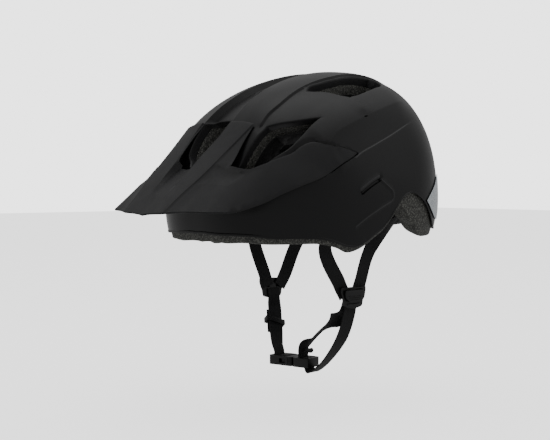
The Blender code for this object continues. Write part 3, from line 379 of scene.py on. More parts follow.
# %% Harness and fitting finishes
webbing_paint = Paint("strap_webbing", (0.008, 0.008, 0.009), 0.75, Specular_IOR_Level=0.3)
across, along = webbing_paint.attribute("strap_u"), webbing_paint.attribute("strap_v")
rib = webbing_paint.sine(across * 5.2) * 0.5 + 0.5
pick = webbing_paint.sine(along * 4.2 + webbing_paint.sine(across * 2.6) * 1.6) * 0.5 + 0.5
weave = rib * 0.45 + pick * 0.55
webbing_paint.set(Base_Color=webbing_paint.mix(weave, (0.004, 0.004, 0.0045),
                                               (0.013, 0.013, 0.014)),
                  Normal=webbing_paint.bump(weave, 0.7, 0.0004), Sheen_Weight=0.08,
                  Sheen_Roughness=0.4)

plastic_paint = Paint("moulded_plastic", (0.007, 0.007, 0.0075), 0.38, Specular_IOR_Level=0.4)
plastic_paint.set(Roughness=0.32 + 0.12 * plastic_paint.noise(150.0, 2.0),
                  Normal=plastic_paint.bump(plastic_paint.noise(1500.0, 2.0), 0.08, 0.0002))

dial_paint = Paint("dial_rubber", (0.018, 0.018, 0.019), 0.62)
dial_paint.set(Normal=dial_paint.bump(dial_paint.noise(1800.0, 2.0), 0.25, 0.0003),
               Roughness=0.58 + 0.1 * dial_paint.noise(200.0))

pad_paint = Paint("pad_cloth", (0.018, 0.018, 0.020), 0.9, Sheen_Weight=0.4)
knit = pad_paint.cells(620.0)
pad_paint.set(Base_Color=pad_paint.mix(pad_paint.ramp(knit, (0.1, 1.0), (0.6, 0.0)),
                                       (0.010, 0.010, 0.011), (0.030, 0.030, 0.033)),
              Normal=pad_paint.bump(knit, 0.6, 0.0006))

steel_paint = Paint("screw_steel", (0.42, 0.42, 0.44), 0.32, Metallic=1.0)
steel_paint.set(Roughness=0.25 + 0.15 * steel_paint.noise(700.0, 3.0))

film_paint = Paint("reflector_silver", (0.60, 0.63, 0.66), 0.25)
dots = film_paint.cells(420.0)
film_paint.set(Base_Color=film_paint.mix(film_paint.ramp(dots, (0.30, 1.0), (0.36, 0.0)),
                                         (0.60, 0.64, 0.67), (0.34, 0.38, 0.42)),
               Normal=film_paint.bump(film_paint.cells(1400.0), 0.12, 0.0002))
floor_paint = Paint("floor_white", (0.86, 0.86, 0.86), 0.85, Emission_Strength=1.6)
floor_paint.set(Emission_Color=(1.0, 1.0, 1.0), Roughness=0.8 + 0.1 * floor_paint.noise(3.0))
floor.data.materials.append(floor_paint.mat)
print("harness and fitting finishes")

# %% [markdown]
# ## Outlines and creases
# These are the shapes one would draw on the shell with a pencil: its edge, its air vents,
# the visor's outline and the creases. Each is drawn on the left half and mirrored. A line
# with only a few points is run through a smooth curve, except at its corners.

# %% Outlines on the map
SHELL_EDGE = [
    (0, -99.3), (12, -98.6), (22, -97), (36, -93), (48, -88.5), (59, -82.5), (69, -76),
    (77, -71), (84, -66.5), (89, -61), (92.5, -54), (94.5, -45), (95.5, -37), (94.5, -30),
    (91.5, -22), (89, -16), (87, -10), (86, -2), (87.5, 6), (90, 15), (93, 24), (95, 36),
    (93, 48), (87, 61), (77, 74), (65, 84), (52, 90), (43, 91), (34, 88), (26, 85),
    (14, 84), (0, 84)]
LINER_EDGE = [
    (0, -102.3), (19, -100.5), (31, -97.3), (42, -93.8), (51, -89.8), (60, -84.8), (69, -79),
    (79, -73), (86, -69), (91, -62.5), (94.5, -54.5), (96.5, -45), (97.5, -37), (96.5, -29),
    (94, -21), (91.5, -14), (95, -9), (100, -2), (103, 6), (106, 13), (107, 22), (104, 35),
    (98, 50), (88, 66), (75, 79), (62, 88), (50, 92.5), (41, 93), (31, 90), (24, 87.5),
    (13, 86), (0, 86)]
FRONT_VENT = [(0, -62), (7, -62.5), (9.5, -64.5), (10, -70), (9, -77), (6, -80.5), (0, -81)]
TOP_VENT = [(0, -45), (3.5, -45), (5, -42), (4.6, -33), (4, -24), (2.5, -17), (0, -15.5)]
BACK_VENT = [(0, 32), (6, 32), (8.5, 37), (8.5, 50), (6, 60), (0, 62)]
CHEEK_VENT = [(25, -61), (28, -58), (31.5, -54.5), (35, -50), (39, -43.8), (39.3, -51),
              (39.6, -57), (39, -62.5), (36.5, -68), (33.5, -73), (30, -76), (24, -77.5)]
CROWN_VENT = [(14, -3), (16, -12), (18, -19), (19.5, -28), (20.5, -36), (23, -39), (26, -36),
              (29, -32), (33, -28), (36, -24.5), (35, -18), (33, -10), (30, -2), (28, 3),
              (24, 7), (18, 9), (14, 7.5)]
NAPE_VENT = [(20, 30), (29, 26), (38, 29), (39, 42), (33, 57), (25, 65), (20, 60), (18.5, 45)]
VISOR_OUTLINE = [
    (0, -93), (12, -91.7), (24, -89), (31, -87), (36, -85), (41.8, -80.2), (46.2, -74.8),
    (50.7, -68.6), (55.2, -60.8), (57.2, -53.2), (58.3, -46), (58.8, -40), (57, -42),
    (52, -47.4), (47.4, -51.8), (45.4, -53.6), (43.4, -56), (42, -59.4), (41, -63.5),
    (37.6, -68.5), (34.5, -72.5), (31, -75.8),
    (24, -77.5), (22, -70), (21, -63), (15, -63.7), (9, -64.5), (8.5, -72), (6.6, -79),
    (5, -81.5), (0, -82)]
WING_TOP = [(59.7, -38.5), (57.4, -40.4), (52.6, -45.8), (48.0, -49.8), (45.2, -52.4),
            (42.4, -54.4), (40.4, -58), (39.3, -61)]
WING_FOOT = [(40, -75), (46.8, -74.8), (51.3, -68.6), (55.9, -60.7), (58, -53.2),
             (59.2, -45.8), (59.7, -38.9)]
CHANNEL_EDGE = [(9.5, -66), (9, -63), (8, -56), (7, -48), (6.5, -40), (6, -25), (6, 0),
                (5, 14), (4, 22)]
RIB_EDGE = [(23, -62), (22, -57), (22, -51), (21, -44), (20, -37), (18.6, -27), (17, -18),
            (13.4, -4), (13.2, 9), (14.5, 18), (16, 26)]
SIDE_CREASE = [(49.2, -49), (47.7, -42.9), (47.7, -35), (47, -24), (44.3, -9.7), (38.6, 7.8),
               (33, 18)]
LOW_CREASE = [(59.8, -42), (59.6, -38.6), (59.5, -25.7), (57.4, -12), (52.7, 2), (46, 16)]
JOIN_CREASE = [(36.2, -23.7), (41.5, -23.4), (46.7, -21.6)]
SLOT_LINE = [(72.9, -46.0), (73.8, -31.5)]
RIB_INNER = [(9.0, -63.0), (8.0, -56.0), (6.6, -50.0), (6.8, -46.0), (5.6, -39.0)]
PANEL_LINE = [(74.5, -31.1), (78.8, -26.8), (82.5, -22.9), (84.4, -22.3), (86.4, -23.2),
              (87.2, -26.6), (86.1, -39.2), (84.4, -48.6), (82.6, -56.9)]
BAND_LINE = [(0, -87), (22, -91), (33, -88), (42, -83), (52, -76.5), (59, -72), (66, -69),
             (75, -64), (84, -58), (97, -52)]
REFLECTOR_OUTLINE = [(89.3, 17.5), (78, 30), (63, 44), (58, 60), (66, 74), (76, 66), (85, 55),
                     (91, 42), (92, 30)]


def curve(points, step, closed=False, corner=38.0):
    """A smooth line through the points, kept sharp where it turns more than corner."""
    pts = [np.array(p, float) for p in points]
    count = len(pts)
    out = []
    for i in range(count if closed else count - 1):
        b, c = pts[i], pts[(i + 1) % count]
        a = pts[i - 1] if (closed or i > 0) else 2 * b - c
        d = pts[(i + 2) % count] if (closed or i + 2 < count) else 2 * c - b
        start = c - a if turn_between(b - a, c - b) < corner else 2 * (c - b)
        end = d - b if turn_between(c - b, d - c) < corner else 2 * (c - b)
        reach = np.linalg.norm(c - b)
        start = start / np.linalg.norm(start) * reach
        end = end / np.linalg.norm(end) * reach
        number = max(1, math.ceil(reach / step))
        for k in range(number):
            t = k / number
            h = (2 * t ** 3 - 3 * t ** 2 + 1, t ** 3 - 2 * t ** 2 + t, -2 * t ** 3 + 3 * t ** 2,
                 t ** 3 - t ** 2)
            out.append(tuple(h[0] * b + h[1] * start + h[2] * c + h[3] * end))
    return out if closed else out + [tuple(pts[-1])]


def turn_between(u, v):
    cosine = u @ v / max(np.linalg.norm(u) * np.linalg.norm(v), 1e-9)
    return math.degrees(math.acos(max(-1.0, min(1.0, cosine))))


def inside(points, outline):
    """Which points lie inside an outline."""
    x, y = points[:, 0], points[:, 1]
    found = np.zeros(len(points), bool)
    for (x0, y0), (x1, y1) in zip(outline, outline[1:] + outline[:1]):
        if y0 != y1:
            found ^= ((y0 > y) != (y1 > y)) & (x < (x1 - x0) * (y - y0) / (y1 - y0) + x0)
    return found


def from_line(points, line):
    """Distance to a line of points, and on which side of it a point lies."""
    nearest = np.full(len(points), 1e9)
    side = np.zeros(len(points))
    for a, b in zip(line, line[1:]):
        a, b = np.array(a), np.array(b)
        along = b - a
        t = np.clip((points - a) @ along / (along @ along), 0.0, 1.0)
        reach = np.linalg.norm(points - a - t[:, None] * along, axis=1)
        near = points - a
        sign = np.sign(along[0] * near[:, 1] - along[1] * near[:, 0])
        side = np.where(reach < nearest, sign, side)
        nearest = np.minimum(nearest, reach)
    return nearest, side


def beside(line, by):
    """The line moved sideways on the map."""
    pts = np.array(line, float)
    along = np.gradient(pts, axis=0)
    along /= np.linalg.norm(along, axis=1)[:, None]
    return [tuple(p) for p in pts + by * np.stack([along[:, 1], -along[:, 0]], 1)]


print("outline lengths:", len(SHELL_EDGE), len(LINER_EDGE), len(VISOR_OUTLINE))

# %% [markdown]
# ## Meshes drawn on the map
# A constrained triangulation fills an outline and keeps every crease as an edge of the mesh,
# so a crease stays crisp without a very fine mesh everywhere. The flat mesh becomes a body
# with an outside and an inside, and its free edges get a rolled profile.


# %% Triangles and bodies
def half_map(edge, holes, lines, step, mirrored=True):
    """Triangles over the left half of an outline, mirrored to the right."""
    low, high = edge[0][1], edge[-1][1]
    runs = [(edge, not mirrored)]
    if mirrored:
        seam = [(0.0, q) for q in np.arange(low, high, step if high > low else -step)]
        runs.append((seam + [(0.0, high)], False))
    runs += [(hole, abs(hole[0][0]) > 1e-6) for hole in holes]
    runs += [(line, False) for line in lines]
    points, edges = [], []
    for run, closed in runs:
        first = len(points)
        points += run
        edges += [(first + i, first + i + 1) for i in range(len(run) - 1)]
        if closed:
            edges.append((len(points) - 1, first))
    tree = kdtree.KDTree(len(points))
    for i, p in enumerate(points):
        tree.insert((p[0], p[1], 0.0), i)
    tree.balance()
    reach = max(max(abs(a), abs(b)) for a, b in edge)
    rows = np.arange(-reach, reach, step * math.sqrt(3) / 2)
    grid = np.array([(p, q) for r, q in enumerate(rows)
                     for p in np.arange(step * (0.5 + 0.5 * (r % 2)), reach, step)])
    keep = inside(grid, edge)
    for hole in holes:
        keep &= ~inside(grid, hole)
    grid = [g for g in grid[keep] if tree.find((g[0], g[1], 0.0))[2] > 0.6 * step]
    found = delaunay_2d_cdt([Vector(p) for p in points] + [Vector(g) for g in grid], edges, [],
                            0, 1e-5)
    flat = np.array([(v.x, v.y) for v in found[0]])
    flat[np.abs(flat[:, 0]) < 1e-3, 0] = 0.0
    tris = np.array([f for f in found[2] if len(f) == 3])
    middle = flat[tris].mean(axis=1)
    keep = inside(middle, edge) & (middle[:, 0] > 0.0)
    for hole in holes:
        keep &= ~inside(middle, hole)
    tris = tris[keep]
    used = np.unique(tris)
    number = np.full(len(flat), -1)
    number[used] = np.arange(len(used))
    flat, tris = flat[used], number[tris]
    if not mirrored:
        return flat, tris
    mirror = np.arange(len(flat))
    others = np.nonzero(flat[:, 0] > 0.0)[0]
    mirror[others] = len(flat) + np.arange(len(others))
    flat = np.vstack([flat, flat[others] * [-1.0, 1.0]])
    return flat, np.vstack([tris, mirror[tris][:, ::-1]])


def free_edges(tris):
    """The loops of edges that belong to one triangle, each with the material on its left."""
    directed = {(t[i], t[(i + 1) % 3]) for t in tris.tolist() for i in range(3)}
    after = {a: b for a, b in directed if (b, a) not in directed}
    loops = []
    while after:
        start = next(iter(after))
        loop = [start]
        while loop[-1] in after:
            loop.append(after.pop(loop[-1]))
            if loop[-1] == start:
                break
        loops.append(loop[:-1])
    return loops


def edge_normals(flat, loop):
    """At each point of a loop, the direction on the map that leads away from the material."""
    pts = flat[loop]
    along = np.roll(pts, -1, axis=0) - pts
    along /= np.linalg.norm(along, axis=1)[:, None]
    out = np.stack([along[:, 1], -along[:, 0]], 1)
    both = out + np.roll(out, 1, axis=0)
    both /= np.maximum(np.linalg.norm(both, axis=1), 0.2)[:, None]
    return both


def body_of_layers(name, flat, tris, outer, inner, profile, mat):
    """A closed body between two layers. profile(loop points) lists the rings that its wall
    passes through, from the outer layer to the inner one."""
    count = len(flat)
    verts = [outer, inner]
    total = 2 * count
    faces = [tuple(t) for t in tris] + [tuple(count + t[::-1]) for t in tris]
    for loop in free_edges(tris):
        normals = edge_normals(flat, loop)
        rings = [list(loop)]
        for ring in profile(loop, flat[loop], normals):
            verts.append(ring)
            rings.append(list(range(total, total + len(loop))))
            total += len(loop)
        rings.append([count + i for i in loop])
        for high, low in zip(rings, rings[1:]):
            for i in range(len(loop)):
                j = (i + 1) % len(loop)
                faces.append((high[j], high[i], low[i], low[j]))
    obj = mesh_object(name, np.vstack(verts), faces, mat.mat)
    obj.data.shade_smooth()
    obj.data.set_sharp_from_angle(angle=math.radians(32))
    return obj


def add_attribute(obj, name, values):
    """Gives each vertex a value, and the vertices after the last value none."""
    filled = np.zeros(len(obj.data.vertices), np.float32)
    filled[:len(values)] = values
    layer = obj.data.attributes.new(name, "FLOAT", "POINT")
    layer.data.foreach_set("value", filled)


print("mesh helpers ready")

# %% [markdown]
# ## Relief
# The shell isn't a bare egg. A channel runs back between two ribs, each rib steps down to
# the side, creases break the sides into facets, and the visor's wings lie flush in a seat.
# Each feature adds or takes a few tenths to a few millimetres of distance.

# %% Shell relief
CHANNEL_DEPTH, CHANNEL_WALL = 6.0, 1.5      # depths in millimetres, walls in degrees
SEAT_DEPTH, SEAT_WALL, SEAT_FADE = 2.8, 1.0, 14.0
TIP_SEAT = 1.6               # the seat's least depth near the wing's tip
RIB_STEP, RIB_WALL = 2.0, 0.7
CREASE_UP = 2.4              # the upper side crease stands out by this
CREASE_DOWN = 0.2            # and the strip below it ends sunk by this
LEDGE, LEDGE_RISE = 0.5, 0.4
SLOT_LIP, SLOT_DEPTH = 0.7, 2.4
LINE_STEP = 1.3
rib_edge, rib_inner, side_crease, low_crease, join_crease, band_line, slot_line, wing_top = [
    curve(line, LINE_STEP) for line in (RIB_EDGE, RIB_INNER, SIDE_CREASE, LOW_CREASE,
                                        JOIN_CREASE, BAND_LINE, SLOT_LINE, WING_TOP)]
panel_line = curve(PANEL_LINE, LINE_STEP, corner=20.0)


def drawn(points, line, reach):
    """How strongly a line shows at each point: one on it, none a reach away."""
    return np.clip(1.0 - from_line(points, line)[0] / reach, 0.0, 1.0)


def folded_map(points):
    """The points with the right half folded on to the left."""
    return np.stack([np.abs(points[:, 0]), points[:, 1]], -1)


def relief(points):
    """The channel and the wings' seats, which the foam below has too."""
    folded = folded_map(points)
    p, q = folded.T
    line = np.array(CHANNEL_EDGE)
    width = np.interp(q, line[:, 1], line[:, 0])
    depth = CHANNEL_DEPTH * smooth((22.0 - q) / 24.0) * smooth((q + 82.0) / 8.0)
    lift = -depth * smooth((width - p) / CHANNEL_WALL)
    reach, _ = from_line(folded, WING_TOP)
    seat = SEAT_DEPTH * smooth(reach / SEAT_WALL) * (1.0 - smooth(reach / SEAT_FADE))
    low, _ = from_line(folded, WING_FOOT)
    near_tip = smooth((q + 66.0) / 12.0)
    seat = np.maximum(seat, TIP_SEAT * near_tip) * smooth(low / 0.5) * smooth(reach / SEAT_WALL)
    lift -= np.where(inside(folded, WING_TOP + WING_FOOT), seat, 0.0)
    return lift


def shell_detail(points):
    """The finer relief that only the outside of the shell has."""
    folded = folded_map(points)
    q = folded[:, 1]
    reach, side = from_line(folded, rib_edge)
    outside = np.where(side < 0.0, reach, 0.0)
    ends = smooth((26.0 - q) / 12.0) * smooth((q + 66.0) / 5.0)
    fall = np.clip(1.0 - (outside - RIB_WALL) / 14.0, 0.0, 1.0)
    lift = -RIB_STEP * ends * smooth(outside / RIB_WALL) * fall
    upper, above = from_line(folded, side_crease)
    lower, under = from_line(folded, low_crease)
    strip = (above < 0.0) & (under > 0.0)
    share = upper / np.maximum(upper + lower, 1e-6)
    height = np.where(strip, CREASE_UP - (CREASE_UP + CREASE_DOWN) * share, 0.0)
    height = np.where(above > 0.0, CREASE_UP * np.clip(1.0 - upper / 14.0, 0.0, 1.0), height)
    below = np.clip(lower / LEDGE, 0.0, 1.0) * (CREASE_DOWN + LEDGE_RISE) - CREASE_DOWN
    below *= np.clip(1.0 - (lower - LEDGE) / 12.0, 0.0, 1.0)
    height = np.where(under < 0.0, below, height)
    lift += height * smooth((18.0 - q) / 16.0) * smooth((q + 55.0) / 5.0)
    join = 0.9 * drawn(folded, join_crease, 5.0) * np.clip(upper / 4.0, 0.0, 1.0)
    lift += np.where(above > 0.0, join, 0.0)
    reach, side = from_line(folded, slot_line)
    run = smooth((q + 48.5) / 1.6) * smooth((-30.0 - q) / 1.6)
    below = np.where(side < 0.0, reach, -reach)
    lift += run * SLOT_LIP * smooth(1.0 - np.abs(below + 0.8) / 0.8)
    lift -= run * SLOT_DEPTH * smooth((below - 0.1) / 0.4) * smooth((1.9 - below) / 0.5)
    ends = smooth((-42.0 - q) / 4.0) * smooth((q + 66.0) / 3.0)
    return lift + 0.5 * (drawn(folded, panel_line, 0.5) + ends * drawn(folded, rib_inner, 3.0))


def outer_lift(points):
    return relief(points) + shell_detail(points)


sample = np.array([[0.0, -30.0], [48.0, -35.0], [73.0, -40.0]])
print("relief in the channel, on a crease and in the slot:", outer_lift(sample).round(2))

# %% [markdown]
# ## The shell
# The real shell is a sheet about a millimetre thick, formed over a mould, with its vent
# edges turned inwards around the foam. It could be one surface with a Solidify modifier,
# but the turned-in edges need their own shape, so every free edge gets a list of rings:
# how far each ring lies outwards on the map, and how far above or below the surface.

# %% Body lists and piece helpers
behaviour = frame["record"]["behaviour"]
body_of_node = {n: body for body, members in behaviour["bodies"].items() for n in members}


def stand_for(obj, *names):
    """The piece stands for these CAD nodes and moves with their body."""
    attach(obj, body_of_node[names[0]])
    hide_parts(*names)
    return obj


def bridge(obj, node, start, end):
    """Hides this node, and bakes the piece's transform into its mesh.
    start and end, two points in millimetres, are not used."""
    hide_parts(node)
    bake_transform(obj)


def rolled(form, lift, steps):
    """An edge profile from steps of (degrees outwards, millimetres of lift)."""
    def profile(loop, pts, normals):
        return [on_form(pts + out * normals, form, lift[loop] + up) for out, up in steps]
    return profile


def extent(pts):
    """The size of a run of map points, corner to corner."""
    return float(np.linalg.norm(np.ptp(pts, axis=0)))


def wall_map(y, z, lift):
    """The map point where the form's left wall passes this Y and Z."""
    low, high = 0.0, 250.0
    for _ in range(40):
        x = 0.5 * (low + high)
        away = np.array([x, y, z]) - CENTRE
        reach = np.linalg.norm(away)
        if reach > form_distance(away / reach, OUTER) + lift:
            high = x
        else:
            low = x
    tilt = math.degrees(math.acos(away[2] / reach))
    flat = math.hypot(away[0], away[1])
    return tilt * away[0] / flat, tilt * away[1] / flat


low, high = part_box("visor_pivot_left")
PIVOT_Y, PIVOT_Z = (low.y + high.y) / 2 / MM, (low.z + high.z) / 2 / MM


def around_pivot(radius, lift, count=24):
    """A circle round the tilt axis, drawn on the map."""
    turns = np.linspace(0.0, 2.0 * math.pi, count, endpoint=False)
    return [wall_map(PIVOT_Y + radius * math.cos(t), PIVOT_Z + radius * math.sin(t), lift)
            for t in turns]


print("tilt axis at y", round(PIVOT_Y, 1), "z", round(PIVOT_Z, 1), "mm")

# %% Shell body
STEP = 1.5
RIM_SIZE, PEG_HOLE_SIZE = 150, 8            # degrees on the map that tell loops apart
VENTS = [FRONT_VENT, TOP_VENT, BACK_VENT, CHEEK_VENT, CROWN_VENT, NAPE_VENT]
FLANGE = 8.5
shell_edge = curve(SHELL_EDGE, LINE_STEP)
vent_lines = [curve(v, 1.2, closed=v[0][0] > 0) for v in VENTS]
peg_hole = around_pivot(4.2, -3.4)
channel_edge = curve(CHANNEL_EDGE, 1.4)
wing_foot = curve(WING_FOOT[1:], LINE_STEP)
feature_lines = [rib_edge, beside(rib_edge, RIB_WALL), beside(rib_edge, 2.0), side_crease,
                 low_crease, join_crease, channel_edge, beside(channel_edge, -CHANNEL_WALL),
                 wing_top, beside(wing_top, SEAT_WALL), wing_foot, beside(wing_foot, -0.5)]
fine_lines = [beside(line, off) for line, offsets in (
    (slot_line, (-1.4, -0.9, -0.2, 0.2, 0.5, 1.4, 1.9)), (panel_line, (-0.5, 0.0, 0.5)))
    for off in offsets] + [band_line]
fine_lines += [beside(line, off) for line, offsets in (
    (low_crease, (-0.4, 0.5, 1.0)), (side_crease, (-0.4, 0.4))) for off in offsets]
flat, tris = half_map(shell_edge, vent_lines + [peg_hole], feature_lines + fine_lines, STEP)
folded = folded_map(flat)
reach, side = from_line(folded, band_line)
band_share = smooth(0.5 - side * reach / 0.5)
surface = outer_lift(flat) + 0.25 * band_share
under = np.minimum(relief(flat), surface) - SHELL_THICKNESS
EDGE_BEAD = [(0.2, 0.45), (0.5, 0.6), (0.8, 0.25), (0.85, -0.4), (0.6, -1.0), (0.25, -1.3)]
VENT_LIP = [(0.22, -0.1), (0.42, -0.4), (0.52, -0.9), (0.55, -2.0), (0.56, -5.0),
            (0.58, 0.4 - FLANGE), (0.45, -FLANGE), (0.15, -FLANGE), (0.02, 0.4 - FLANGE),
            (0.0, -4.0), (0.0, -2.2)]


def shell_steps(size):
    """The rings of a free edge: the rim's, a vent's, or none round a peg's hole."""
    return EDGE_BEAD if size > RIM_SIZE else VENT_LIP if size > PEG_HOLE_SIZE else []


def shell_profile(loop, pts, normals):
    return rolled(OUTER, surface, shell_steps(extent(pts)))(loop, pts, normals)


def ring_marks(flat, tris, rings_of, inner=0.0):
    """One value per vertex of a body of layers: 1 on the chosen rings of each free edge.
    rings_of(loop size) gives how many rings that edge has, and which are chosen."""
    marks = [0.0] * len(flat) + [inner] * len(flat)
    for loop in free_edges(tris):
        count, chosen = rings_of(extent(flat[loop]))
        for number in range(count):
            marks += [1.0 if number in chosen else 0.0] * len(loop)
    return marks


shell = body_of_layers("shell_skin", flat, tris, on_form(flat, OUTER, surface),
                       on_form(flat, OUTER, under), shell_profile, shell_paint)
add_attribute(shell, "band", band_share)
# Painted light: rings 2 to 6 of each vent's turned-in edge are marked to be painted lighter than
# their shade.
add_attribute(shell, "turned", ring_marks(flat, tris, lambda size: (
    len(shell_steps(size)), range(2, 7) if shell_steps(size) is VENT_LIP else ())))
# Painted highlight: the crest attribute marks thin lines along the lower crease, the panel line
# and the slot's lip, which the shell paints lighter.
along = smooth((8.0 - folded[:, 1]) / 10.0) * smooth((folded[:, 1] + 42.0) / 1.0)
slot_lip_highlight = drawn(folded, [(x - 0.9, y) for x, y in slot_line], 0.7)
add_attribute(shell, "crest", np.clip(
    0.7 * drawn(folded, beside(low_crease, 0.25), 0.5) * along
    + 0.6 * drawn(folded, panel_line, 0.45) + 0.7 * slot_lip_highlight, 0.0, 1.0))
stand_for(shell, "outer_shell")
print("shell:", len(shell.data.polygons), "faces,", len(free_edges(tris)), "free edges")

# %% [markdown]
# ## The foam liner
# Expanded foam is moulded in steam, so its surface shows the beads it was made from. It is
# one thick block: its outside follows the shell, its inside is the head cavity. Below each
# vent's turned-in edge the foam steps inwards, which is the speckled band seen in a vent.

# %% Liner body
liner_edge = curve(LINER_EDGE, 1.4)


def offset_loop(line, by):
    """A hole's outline moved outwards, with its ends left on the middle line."""
    pts = np.array(line)
    closed = abs(pts[0, 0]) > 1e-6
    ahead = np.roll(pts, -1, axis=0) if closed else np.vstack([pts[1:], pts[-1:]])
    behind = np.roll(pts, 1, axis=0) if closed else np.vstack([pts[:1], pts[:-1]])
    along = ahead - behind
    along /= np.linalg.norm(along, axis=1)[:, None]
    area = 0.5 * np.sum(pts[:, 0] * np.roll(pts[:, 1], -1) - pts[:, 1] * np.roll(pts[:, 0], -1))
    out = np.stack([along[:, 1], -along[:, 0]], 1) * (1.0 if area > 0 else -1.0)
    pts = pts + by * out
    if not closed:
        pts[[0, -1], 0] = 0.0
    return [tuple(p) for p in pts]


foam_holes = [offset_loop(v, 0.4) for v in vent_lines]
POCKET_DEPTH = 11.0          # room for the bush behind the shell
pocket_rim, pocket_floor = around_pivot(12.0, -6.6), around_pivot(11.0, -6.6)
lines = [rib_edge, beside(rib_edge, RIB_WALL), channel_edge, beside(channel_edge, -CHANNEL_WALL),
         wing_top, beside(wing_top, SEAT_WALL), pocket_rim + pocket_rim[:1],
         pocket_floor + pocket_floor[:1]]
foam_flat, foam_tris = half_map(liner_edge, foam_holes, lines, 1.8)
foam_lift = np.minimum(relief(foam_flat), outer_lift(foam_flat)) - FOAM_BELOW
folded = folded_map(foam_flat)
deep = inside(folded, pocket_rim) & (from_line(folded, pocket_rim + pocket_rim[:1])[0] > 0.1)
foam_lift = np.where(deep, foam_lift - POCKET_DEPTH, foam_lift)


FOAM_RIM = [(0.03, 0.45), (0.10, 0.8), (0.25, 1.0), (0.5, 1.05), (0.75, 0.95), (0.9, 0.7),
            (0.97, 0.35)]
FOAM_BAND = 9.0              # the light band's depth in a vent
step = FLANGE + 0.5 - FOAM_BELOW
FOAM_LEDGE = [(0.0, -2.0), (0.0, -step), (0.9, -step), (1.0, -step - 0.5),
              (1.0, -step - FOAM_BAND), (1.4, -step - FOAM_BAND - 0.4)]
FOAM_HOLE = [(1.7, 3.0), (1.4, 1.2), (1.0, 0.3)]


def foam_profile(loop, pts, normals):
    if extent(pts) > RIM_SIZE:
        top = foam_lift[loop] + form_distance(direction(pts), OUTER)
        base = form_distance(direction(pts), CAVITY)
        rings = []
        for share, out in FOAM_RIM:
            lift = top * (1.0 - share) + base * share
            rings.append(CENTRE + direction(pts + out * normals) * lift[:, None])
        return rings
    rings = rolled(OUTER, foam_lift, FOAM_LEDGE)(loop, pts, normals)
    return rings + [on_form(pts + out * normals, CAVITY, up) for out, up in FOAM_HOLE]


liner = body_of_layers("foam_liner", foam_flat, foam_tris,
                       on_form(foam_flat, OUTER, foam_lift), on_form(foam_flat, CAVITY),
                       foam_profile, foam_paint)
# Painted shade: the cavity side and the deepest rings of every foam edge are marked to be painted
# nearly black.
add_attribute(liner, "hollow", ring_marks(
    foam_flat, foam_tris, lambda size: (7, (6,)) if size > RIM_SIZE else (9, range(5, 9)), 1.0))
stand_for(liner, "eps_liner")
print("liner:", len(liner.data.polygons), "faces")

# %% [markdown]
# ## The visor
# The visor is one moulding that lies on the shell's ribs at its rear edge and runs forward
# into a thin brim. Two raised ribs carry on the shell's lines, with a sloping slot between
# them that lets air into the front vent. Its wings lie flush in the shell's seats.

# %% Visor body
VISOR_THICKNESS = 1.8
BRIM_LIFT = 26.0             # how far the brim's front edge stands out from the form
visor_rib = curve([(21.2, -62.0), (19.2, -72.0), (16.6, -82.0), (13.6, -88.0),
                   (12.0, -92.5)], 1.2)
wing_low = curve([(31.0, -87.0), (36.0, -85.0), (41.8, -80.2), (46.2, -74.8), (50.7, -68.6),
                  (55.2, -60.8), (57.2, -53.2), (58.8, -40.0)], 1.2)
WING_DROP = 1.6              # how far the wings' lower edges roll down towards the shell
WING_GAP = 0.35              # the space left under the wings
WING_THIN = 1.1              # and the least thickness they keep
visor_slot = curve([(9.3, -64.0), (8.6, -72.0), (6.8, -79.0), (6.2, -84.0), (4.8, -87.4),
                    (2.5, -89.0), (0.0, -89.5)], 1.0)
recess = [(16.5, -84.6), (29.0, -81.4), (31.4, -76.8), (24.6, -78.6), (18.5, -78.0)]


def front_turn(points):
    """How far each map point lies round from the front, in degrees."""
    return np.degrees(np.arctan2(np.abs(points[:, 0]), -points[:, 1]))


def visor_lift(points):
    tilt = np.hypot(points[:, 0], points[:, 1])
    turn = front_turn(points)
    brim = BRIM_LIFT * (np.clip(tilt - 63.0, 0.0, None) / 23.0) ** 2.7
    share = np.interp(turn, [0, 14, 18, 23, 28, 34, 42, 50, 60],
                      [1.0, 1.07, 0.95, 0.62, 0.43, 0.36, 0.38, 0.46, 0.6])
    return 2.4 * smooth((30.0 - turn) / 10.0) + brim * share


def visor_detail(points):
    folded = folded_map(points)
    reach, side = from_line(folded, visor_rib)
    outside = np.where(side > 0.0, reach, 0.0)
    crest = np.where(side > 0.0, 0.0, reach)
    lift = -1.1 * smooth(outside / 0.5) - 1.9 * smooth(outside / 5.0)
    lift *= np.clip(1.0 - (outside - 5.0) / 12.0, 0.0, 1.0)
    lift -= 0.5 * smooth((folded[:, 1] + 90.0) / -2.0) * smooth(1.0 - reach / 0.6)
    lift += 0.5 * np.clip(1.0 - crest / 6.0, 0.0, 1.0)
    reach, _ = from_line(folded, visor_slot)
    within = inside(folded, [(0.0, -64.0)] + visor_slot)
    ramp = 7.0 * np.clip((folded[:, 1] + 89.5) / 8.0, 0.0, 1.0)
    lift -= np.where(within, ramp * smooth(reach / 0.8), 0.0)
    reach, _ = from_line(folded, recess + recess[:1])
    lift -= np.where(inside(folded, recess), 1.1 * smooth(reach / 0.4), 0.0)
    reach, _ = from_line(folded, wing_low)
    share = smooth((front_turn(points) - 24.0) / 8.0)
    return lift - share * WING_DROP * (1.0 - np.clip(reach / 7.0, 0.0, 1.0)) ** 2


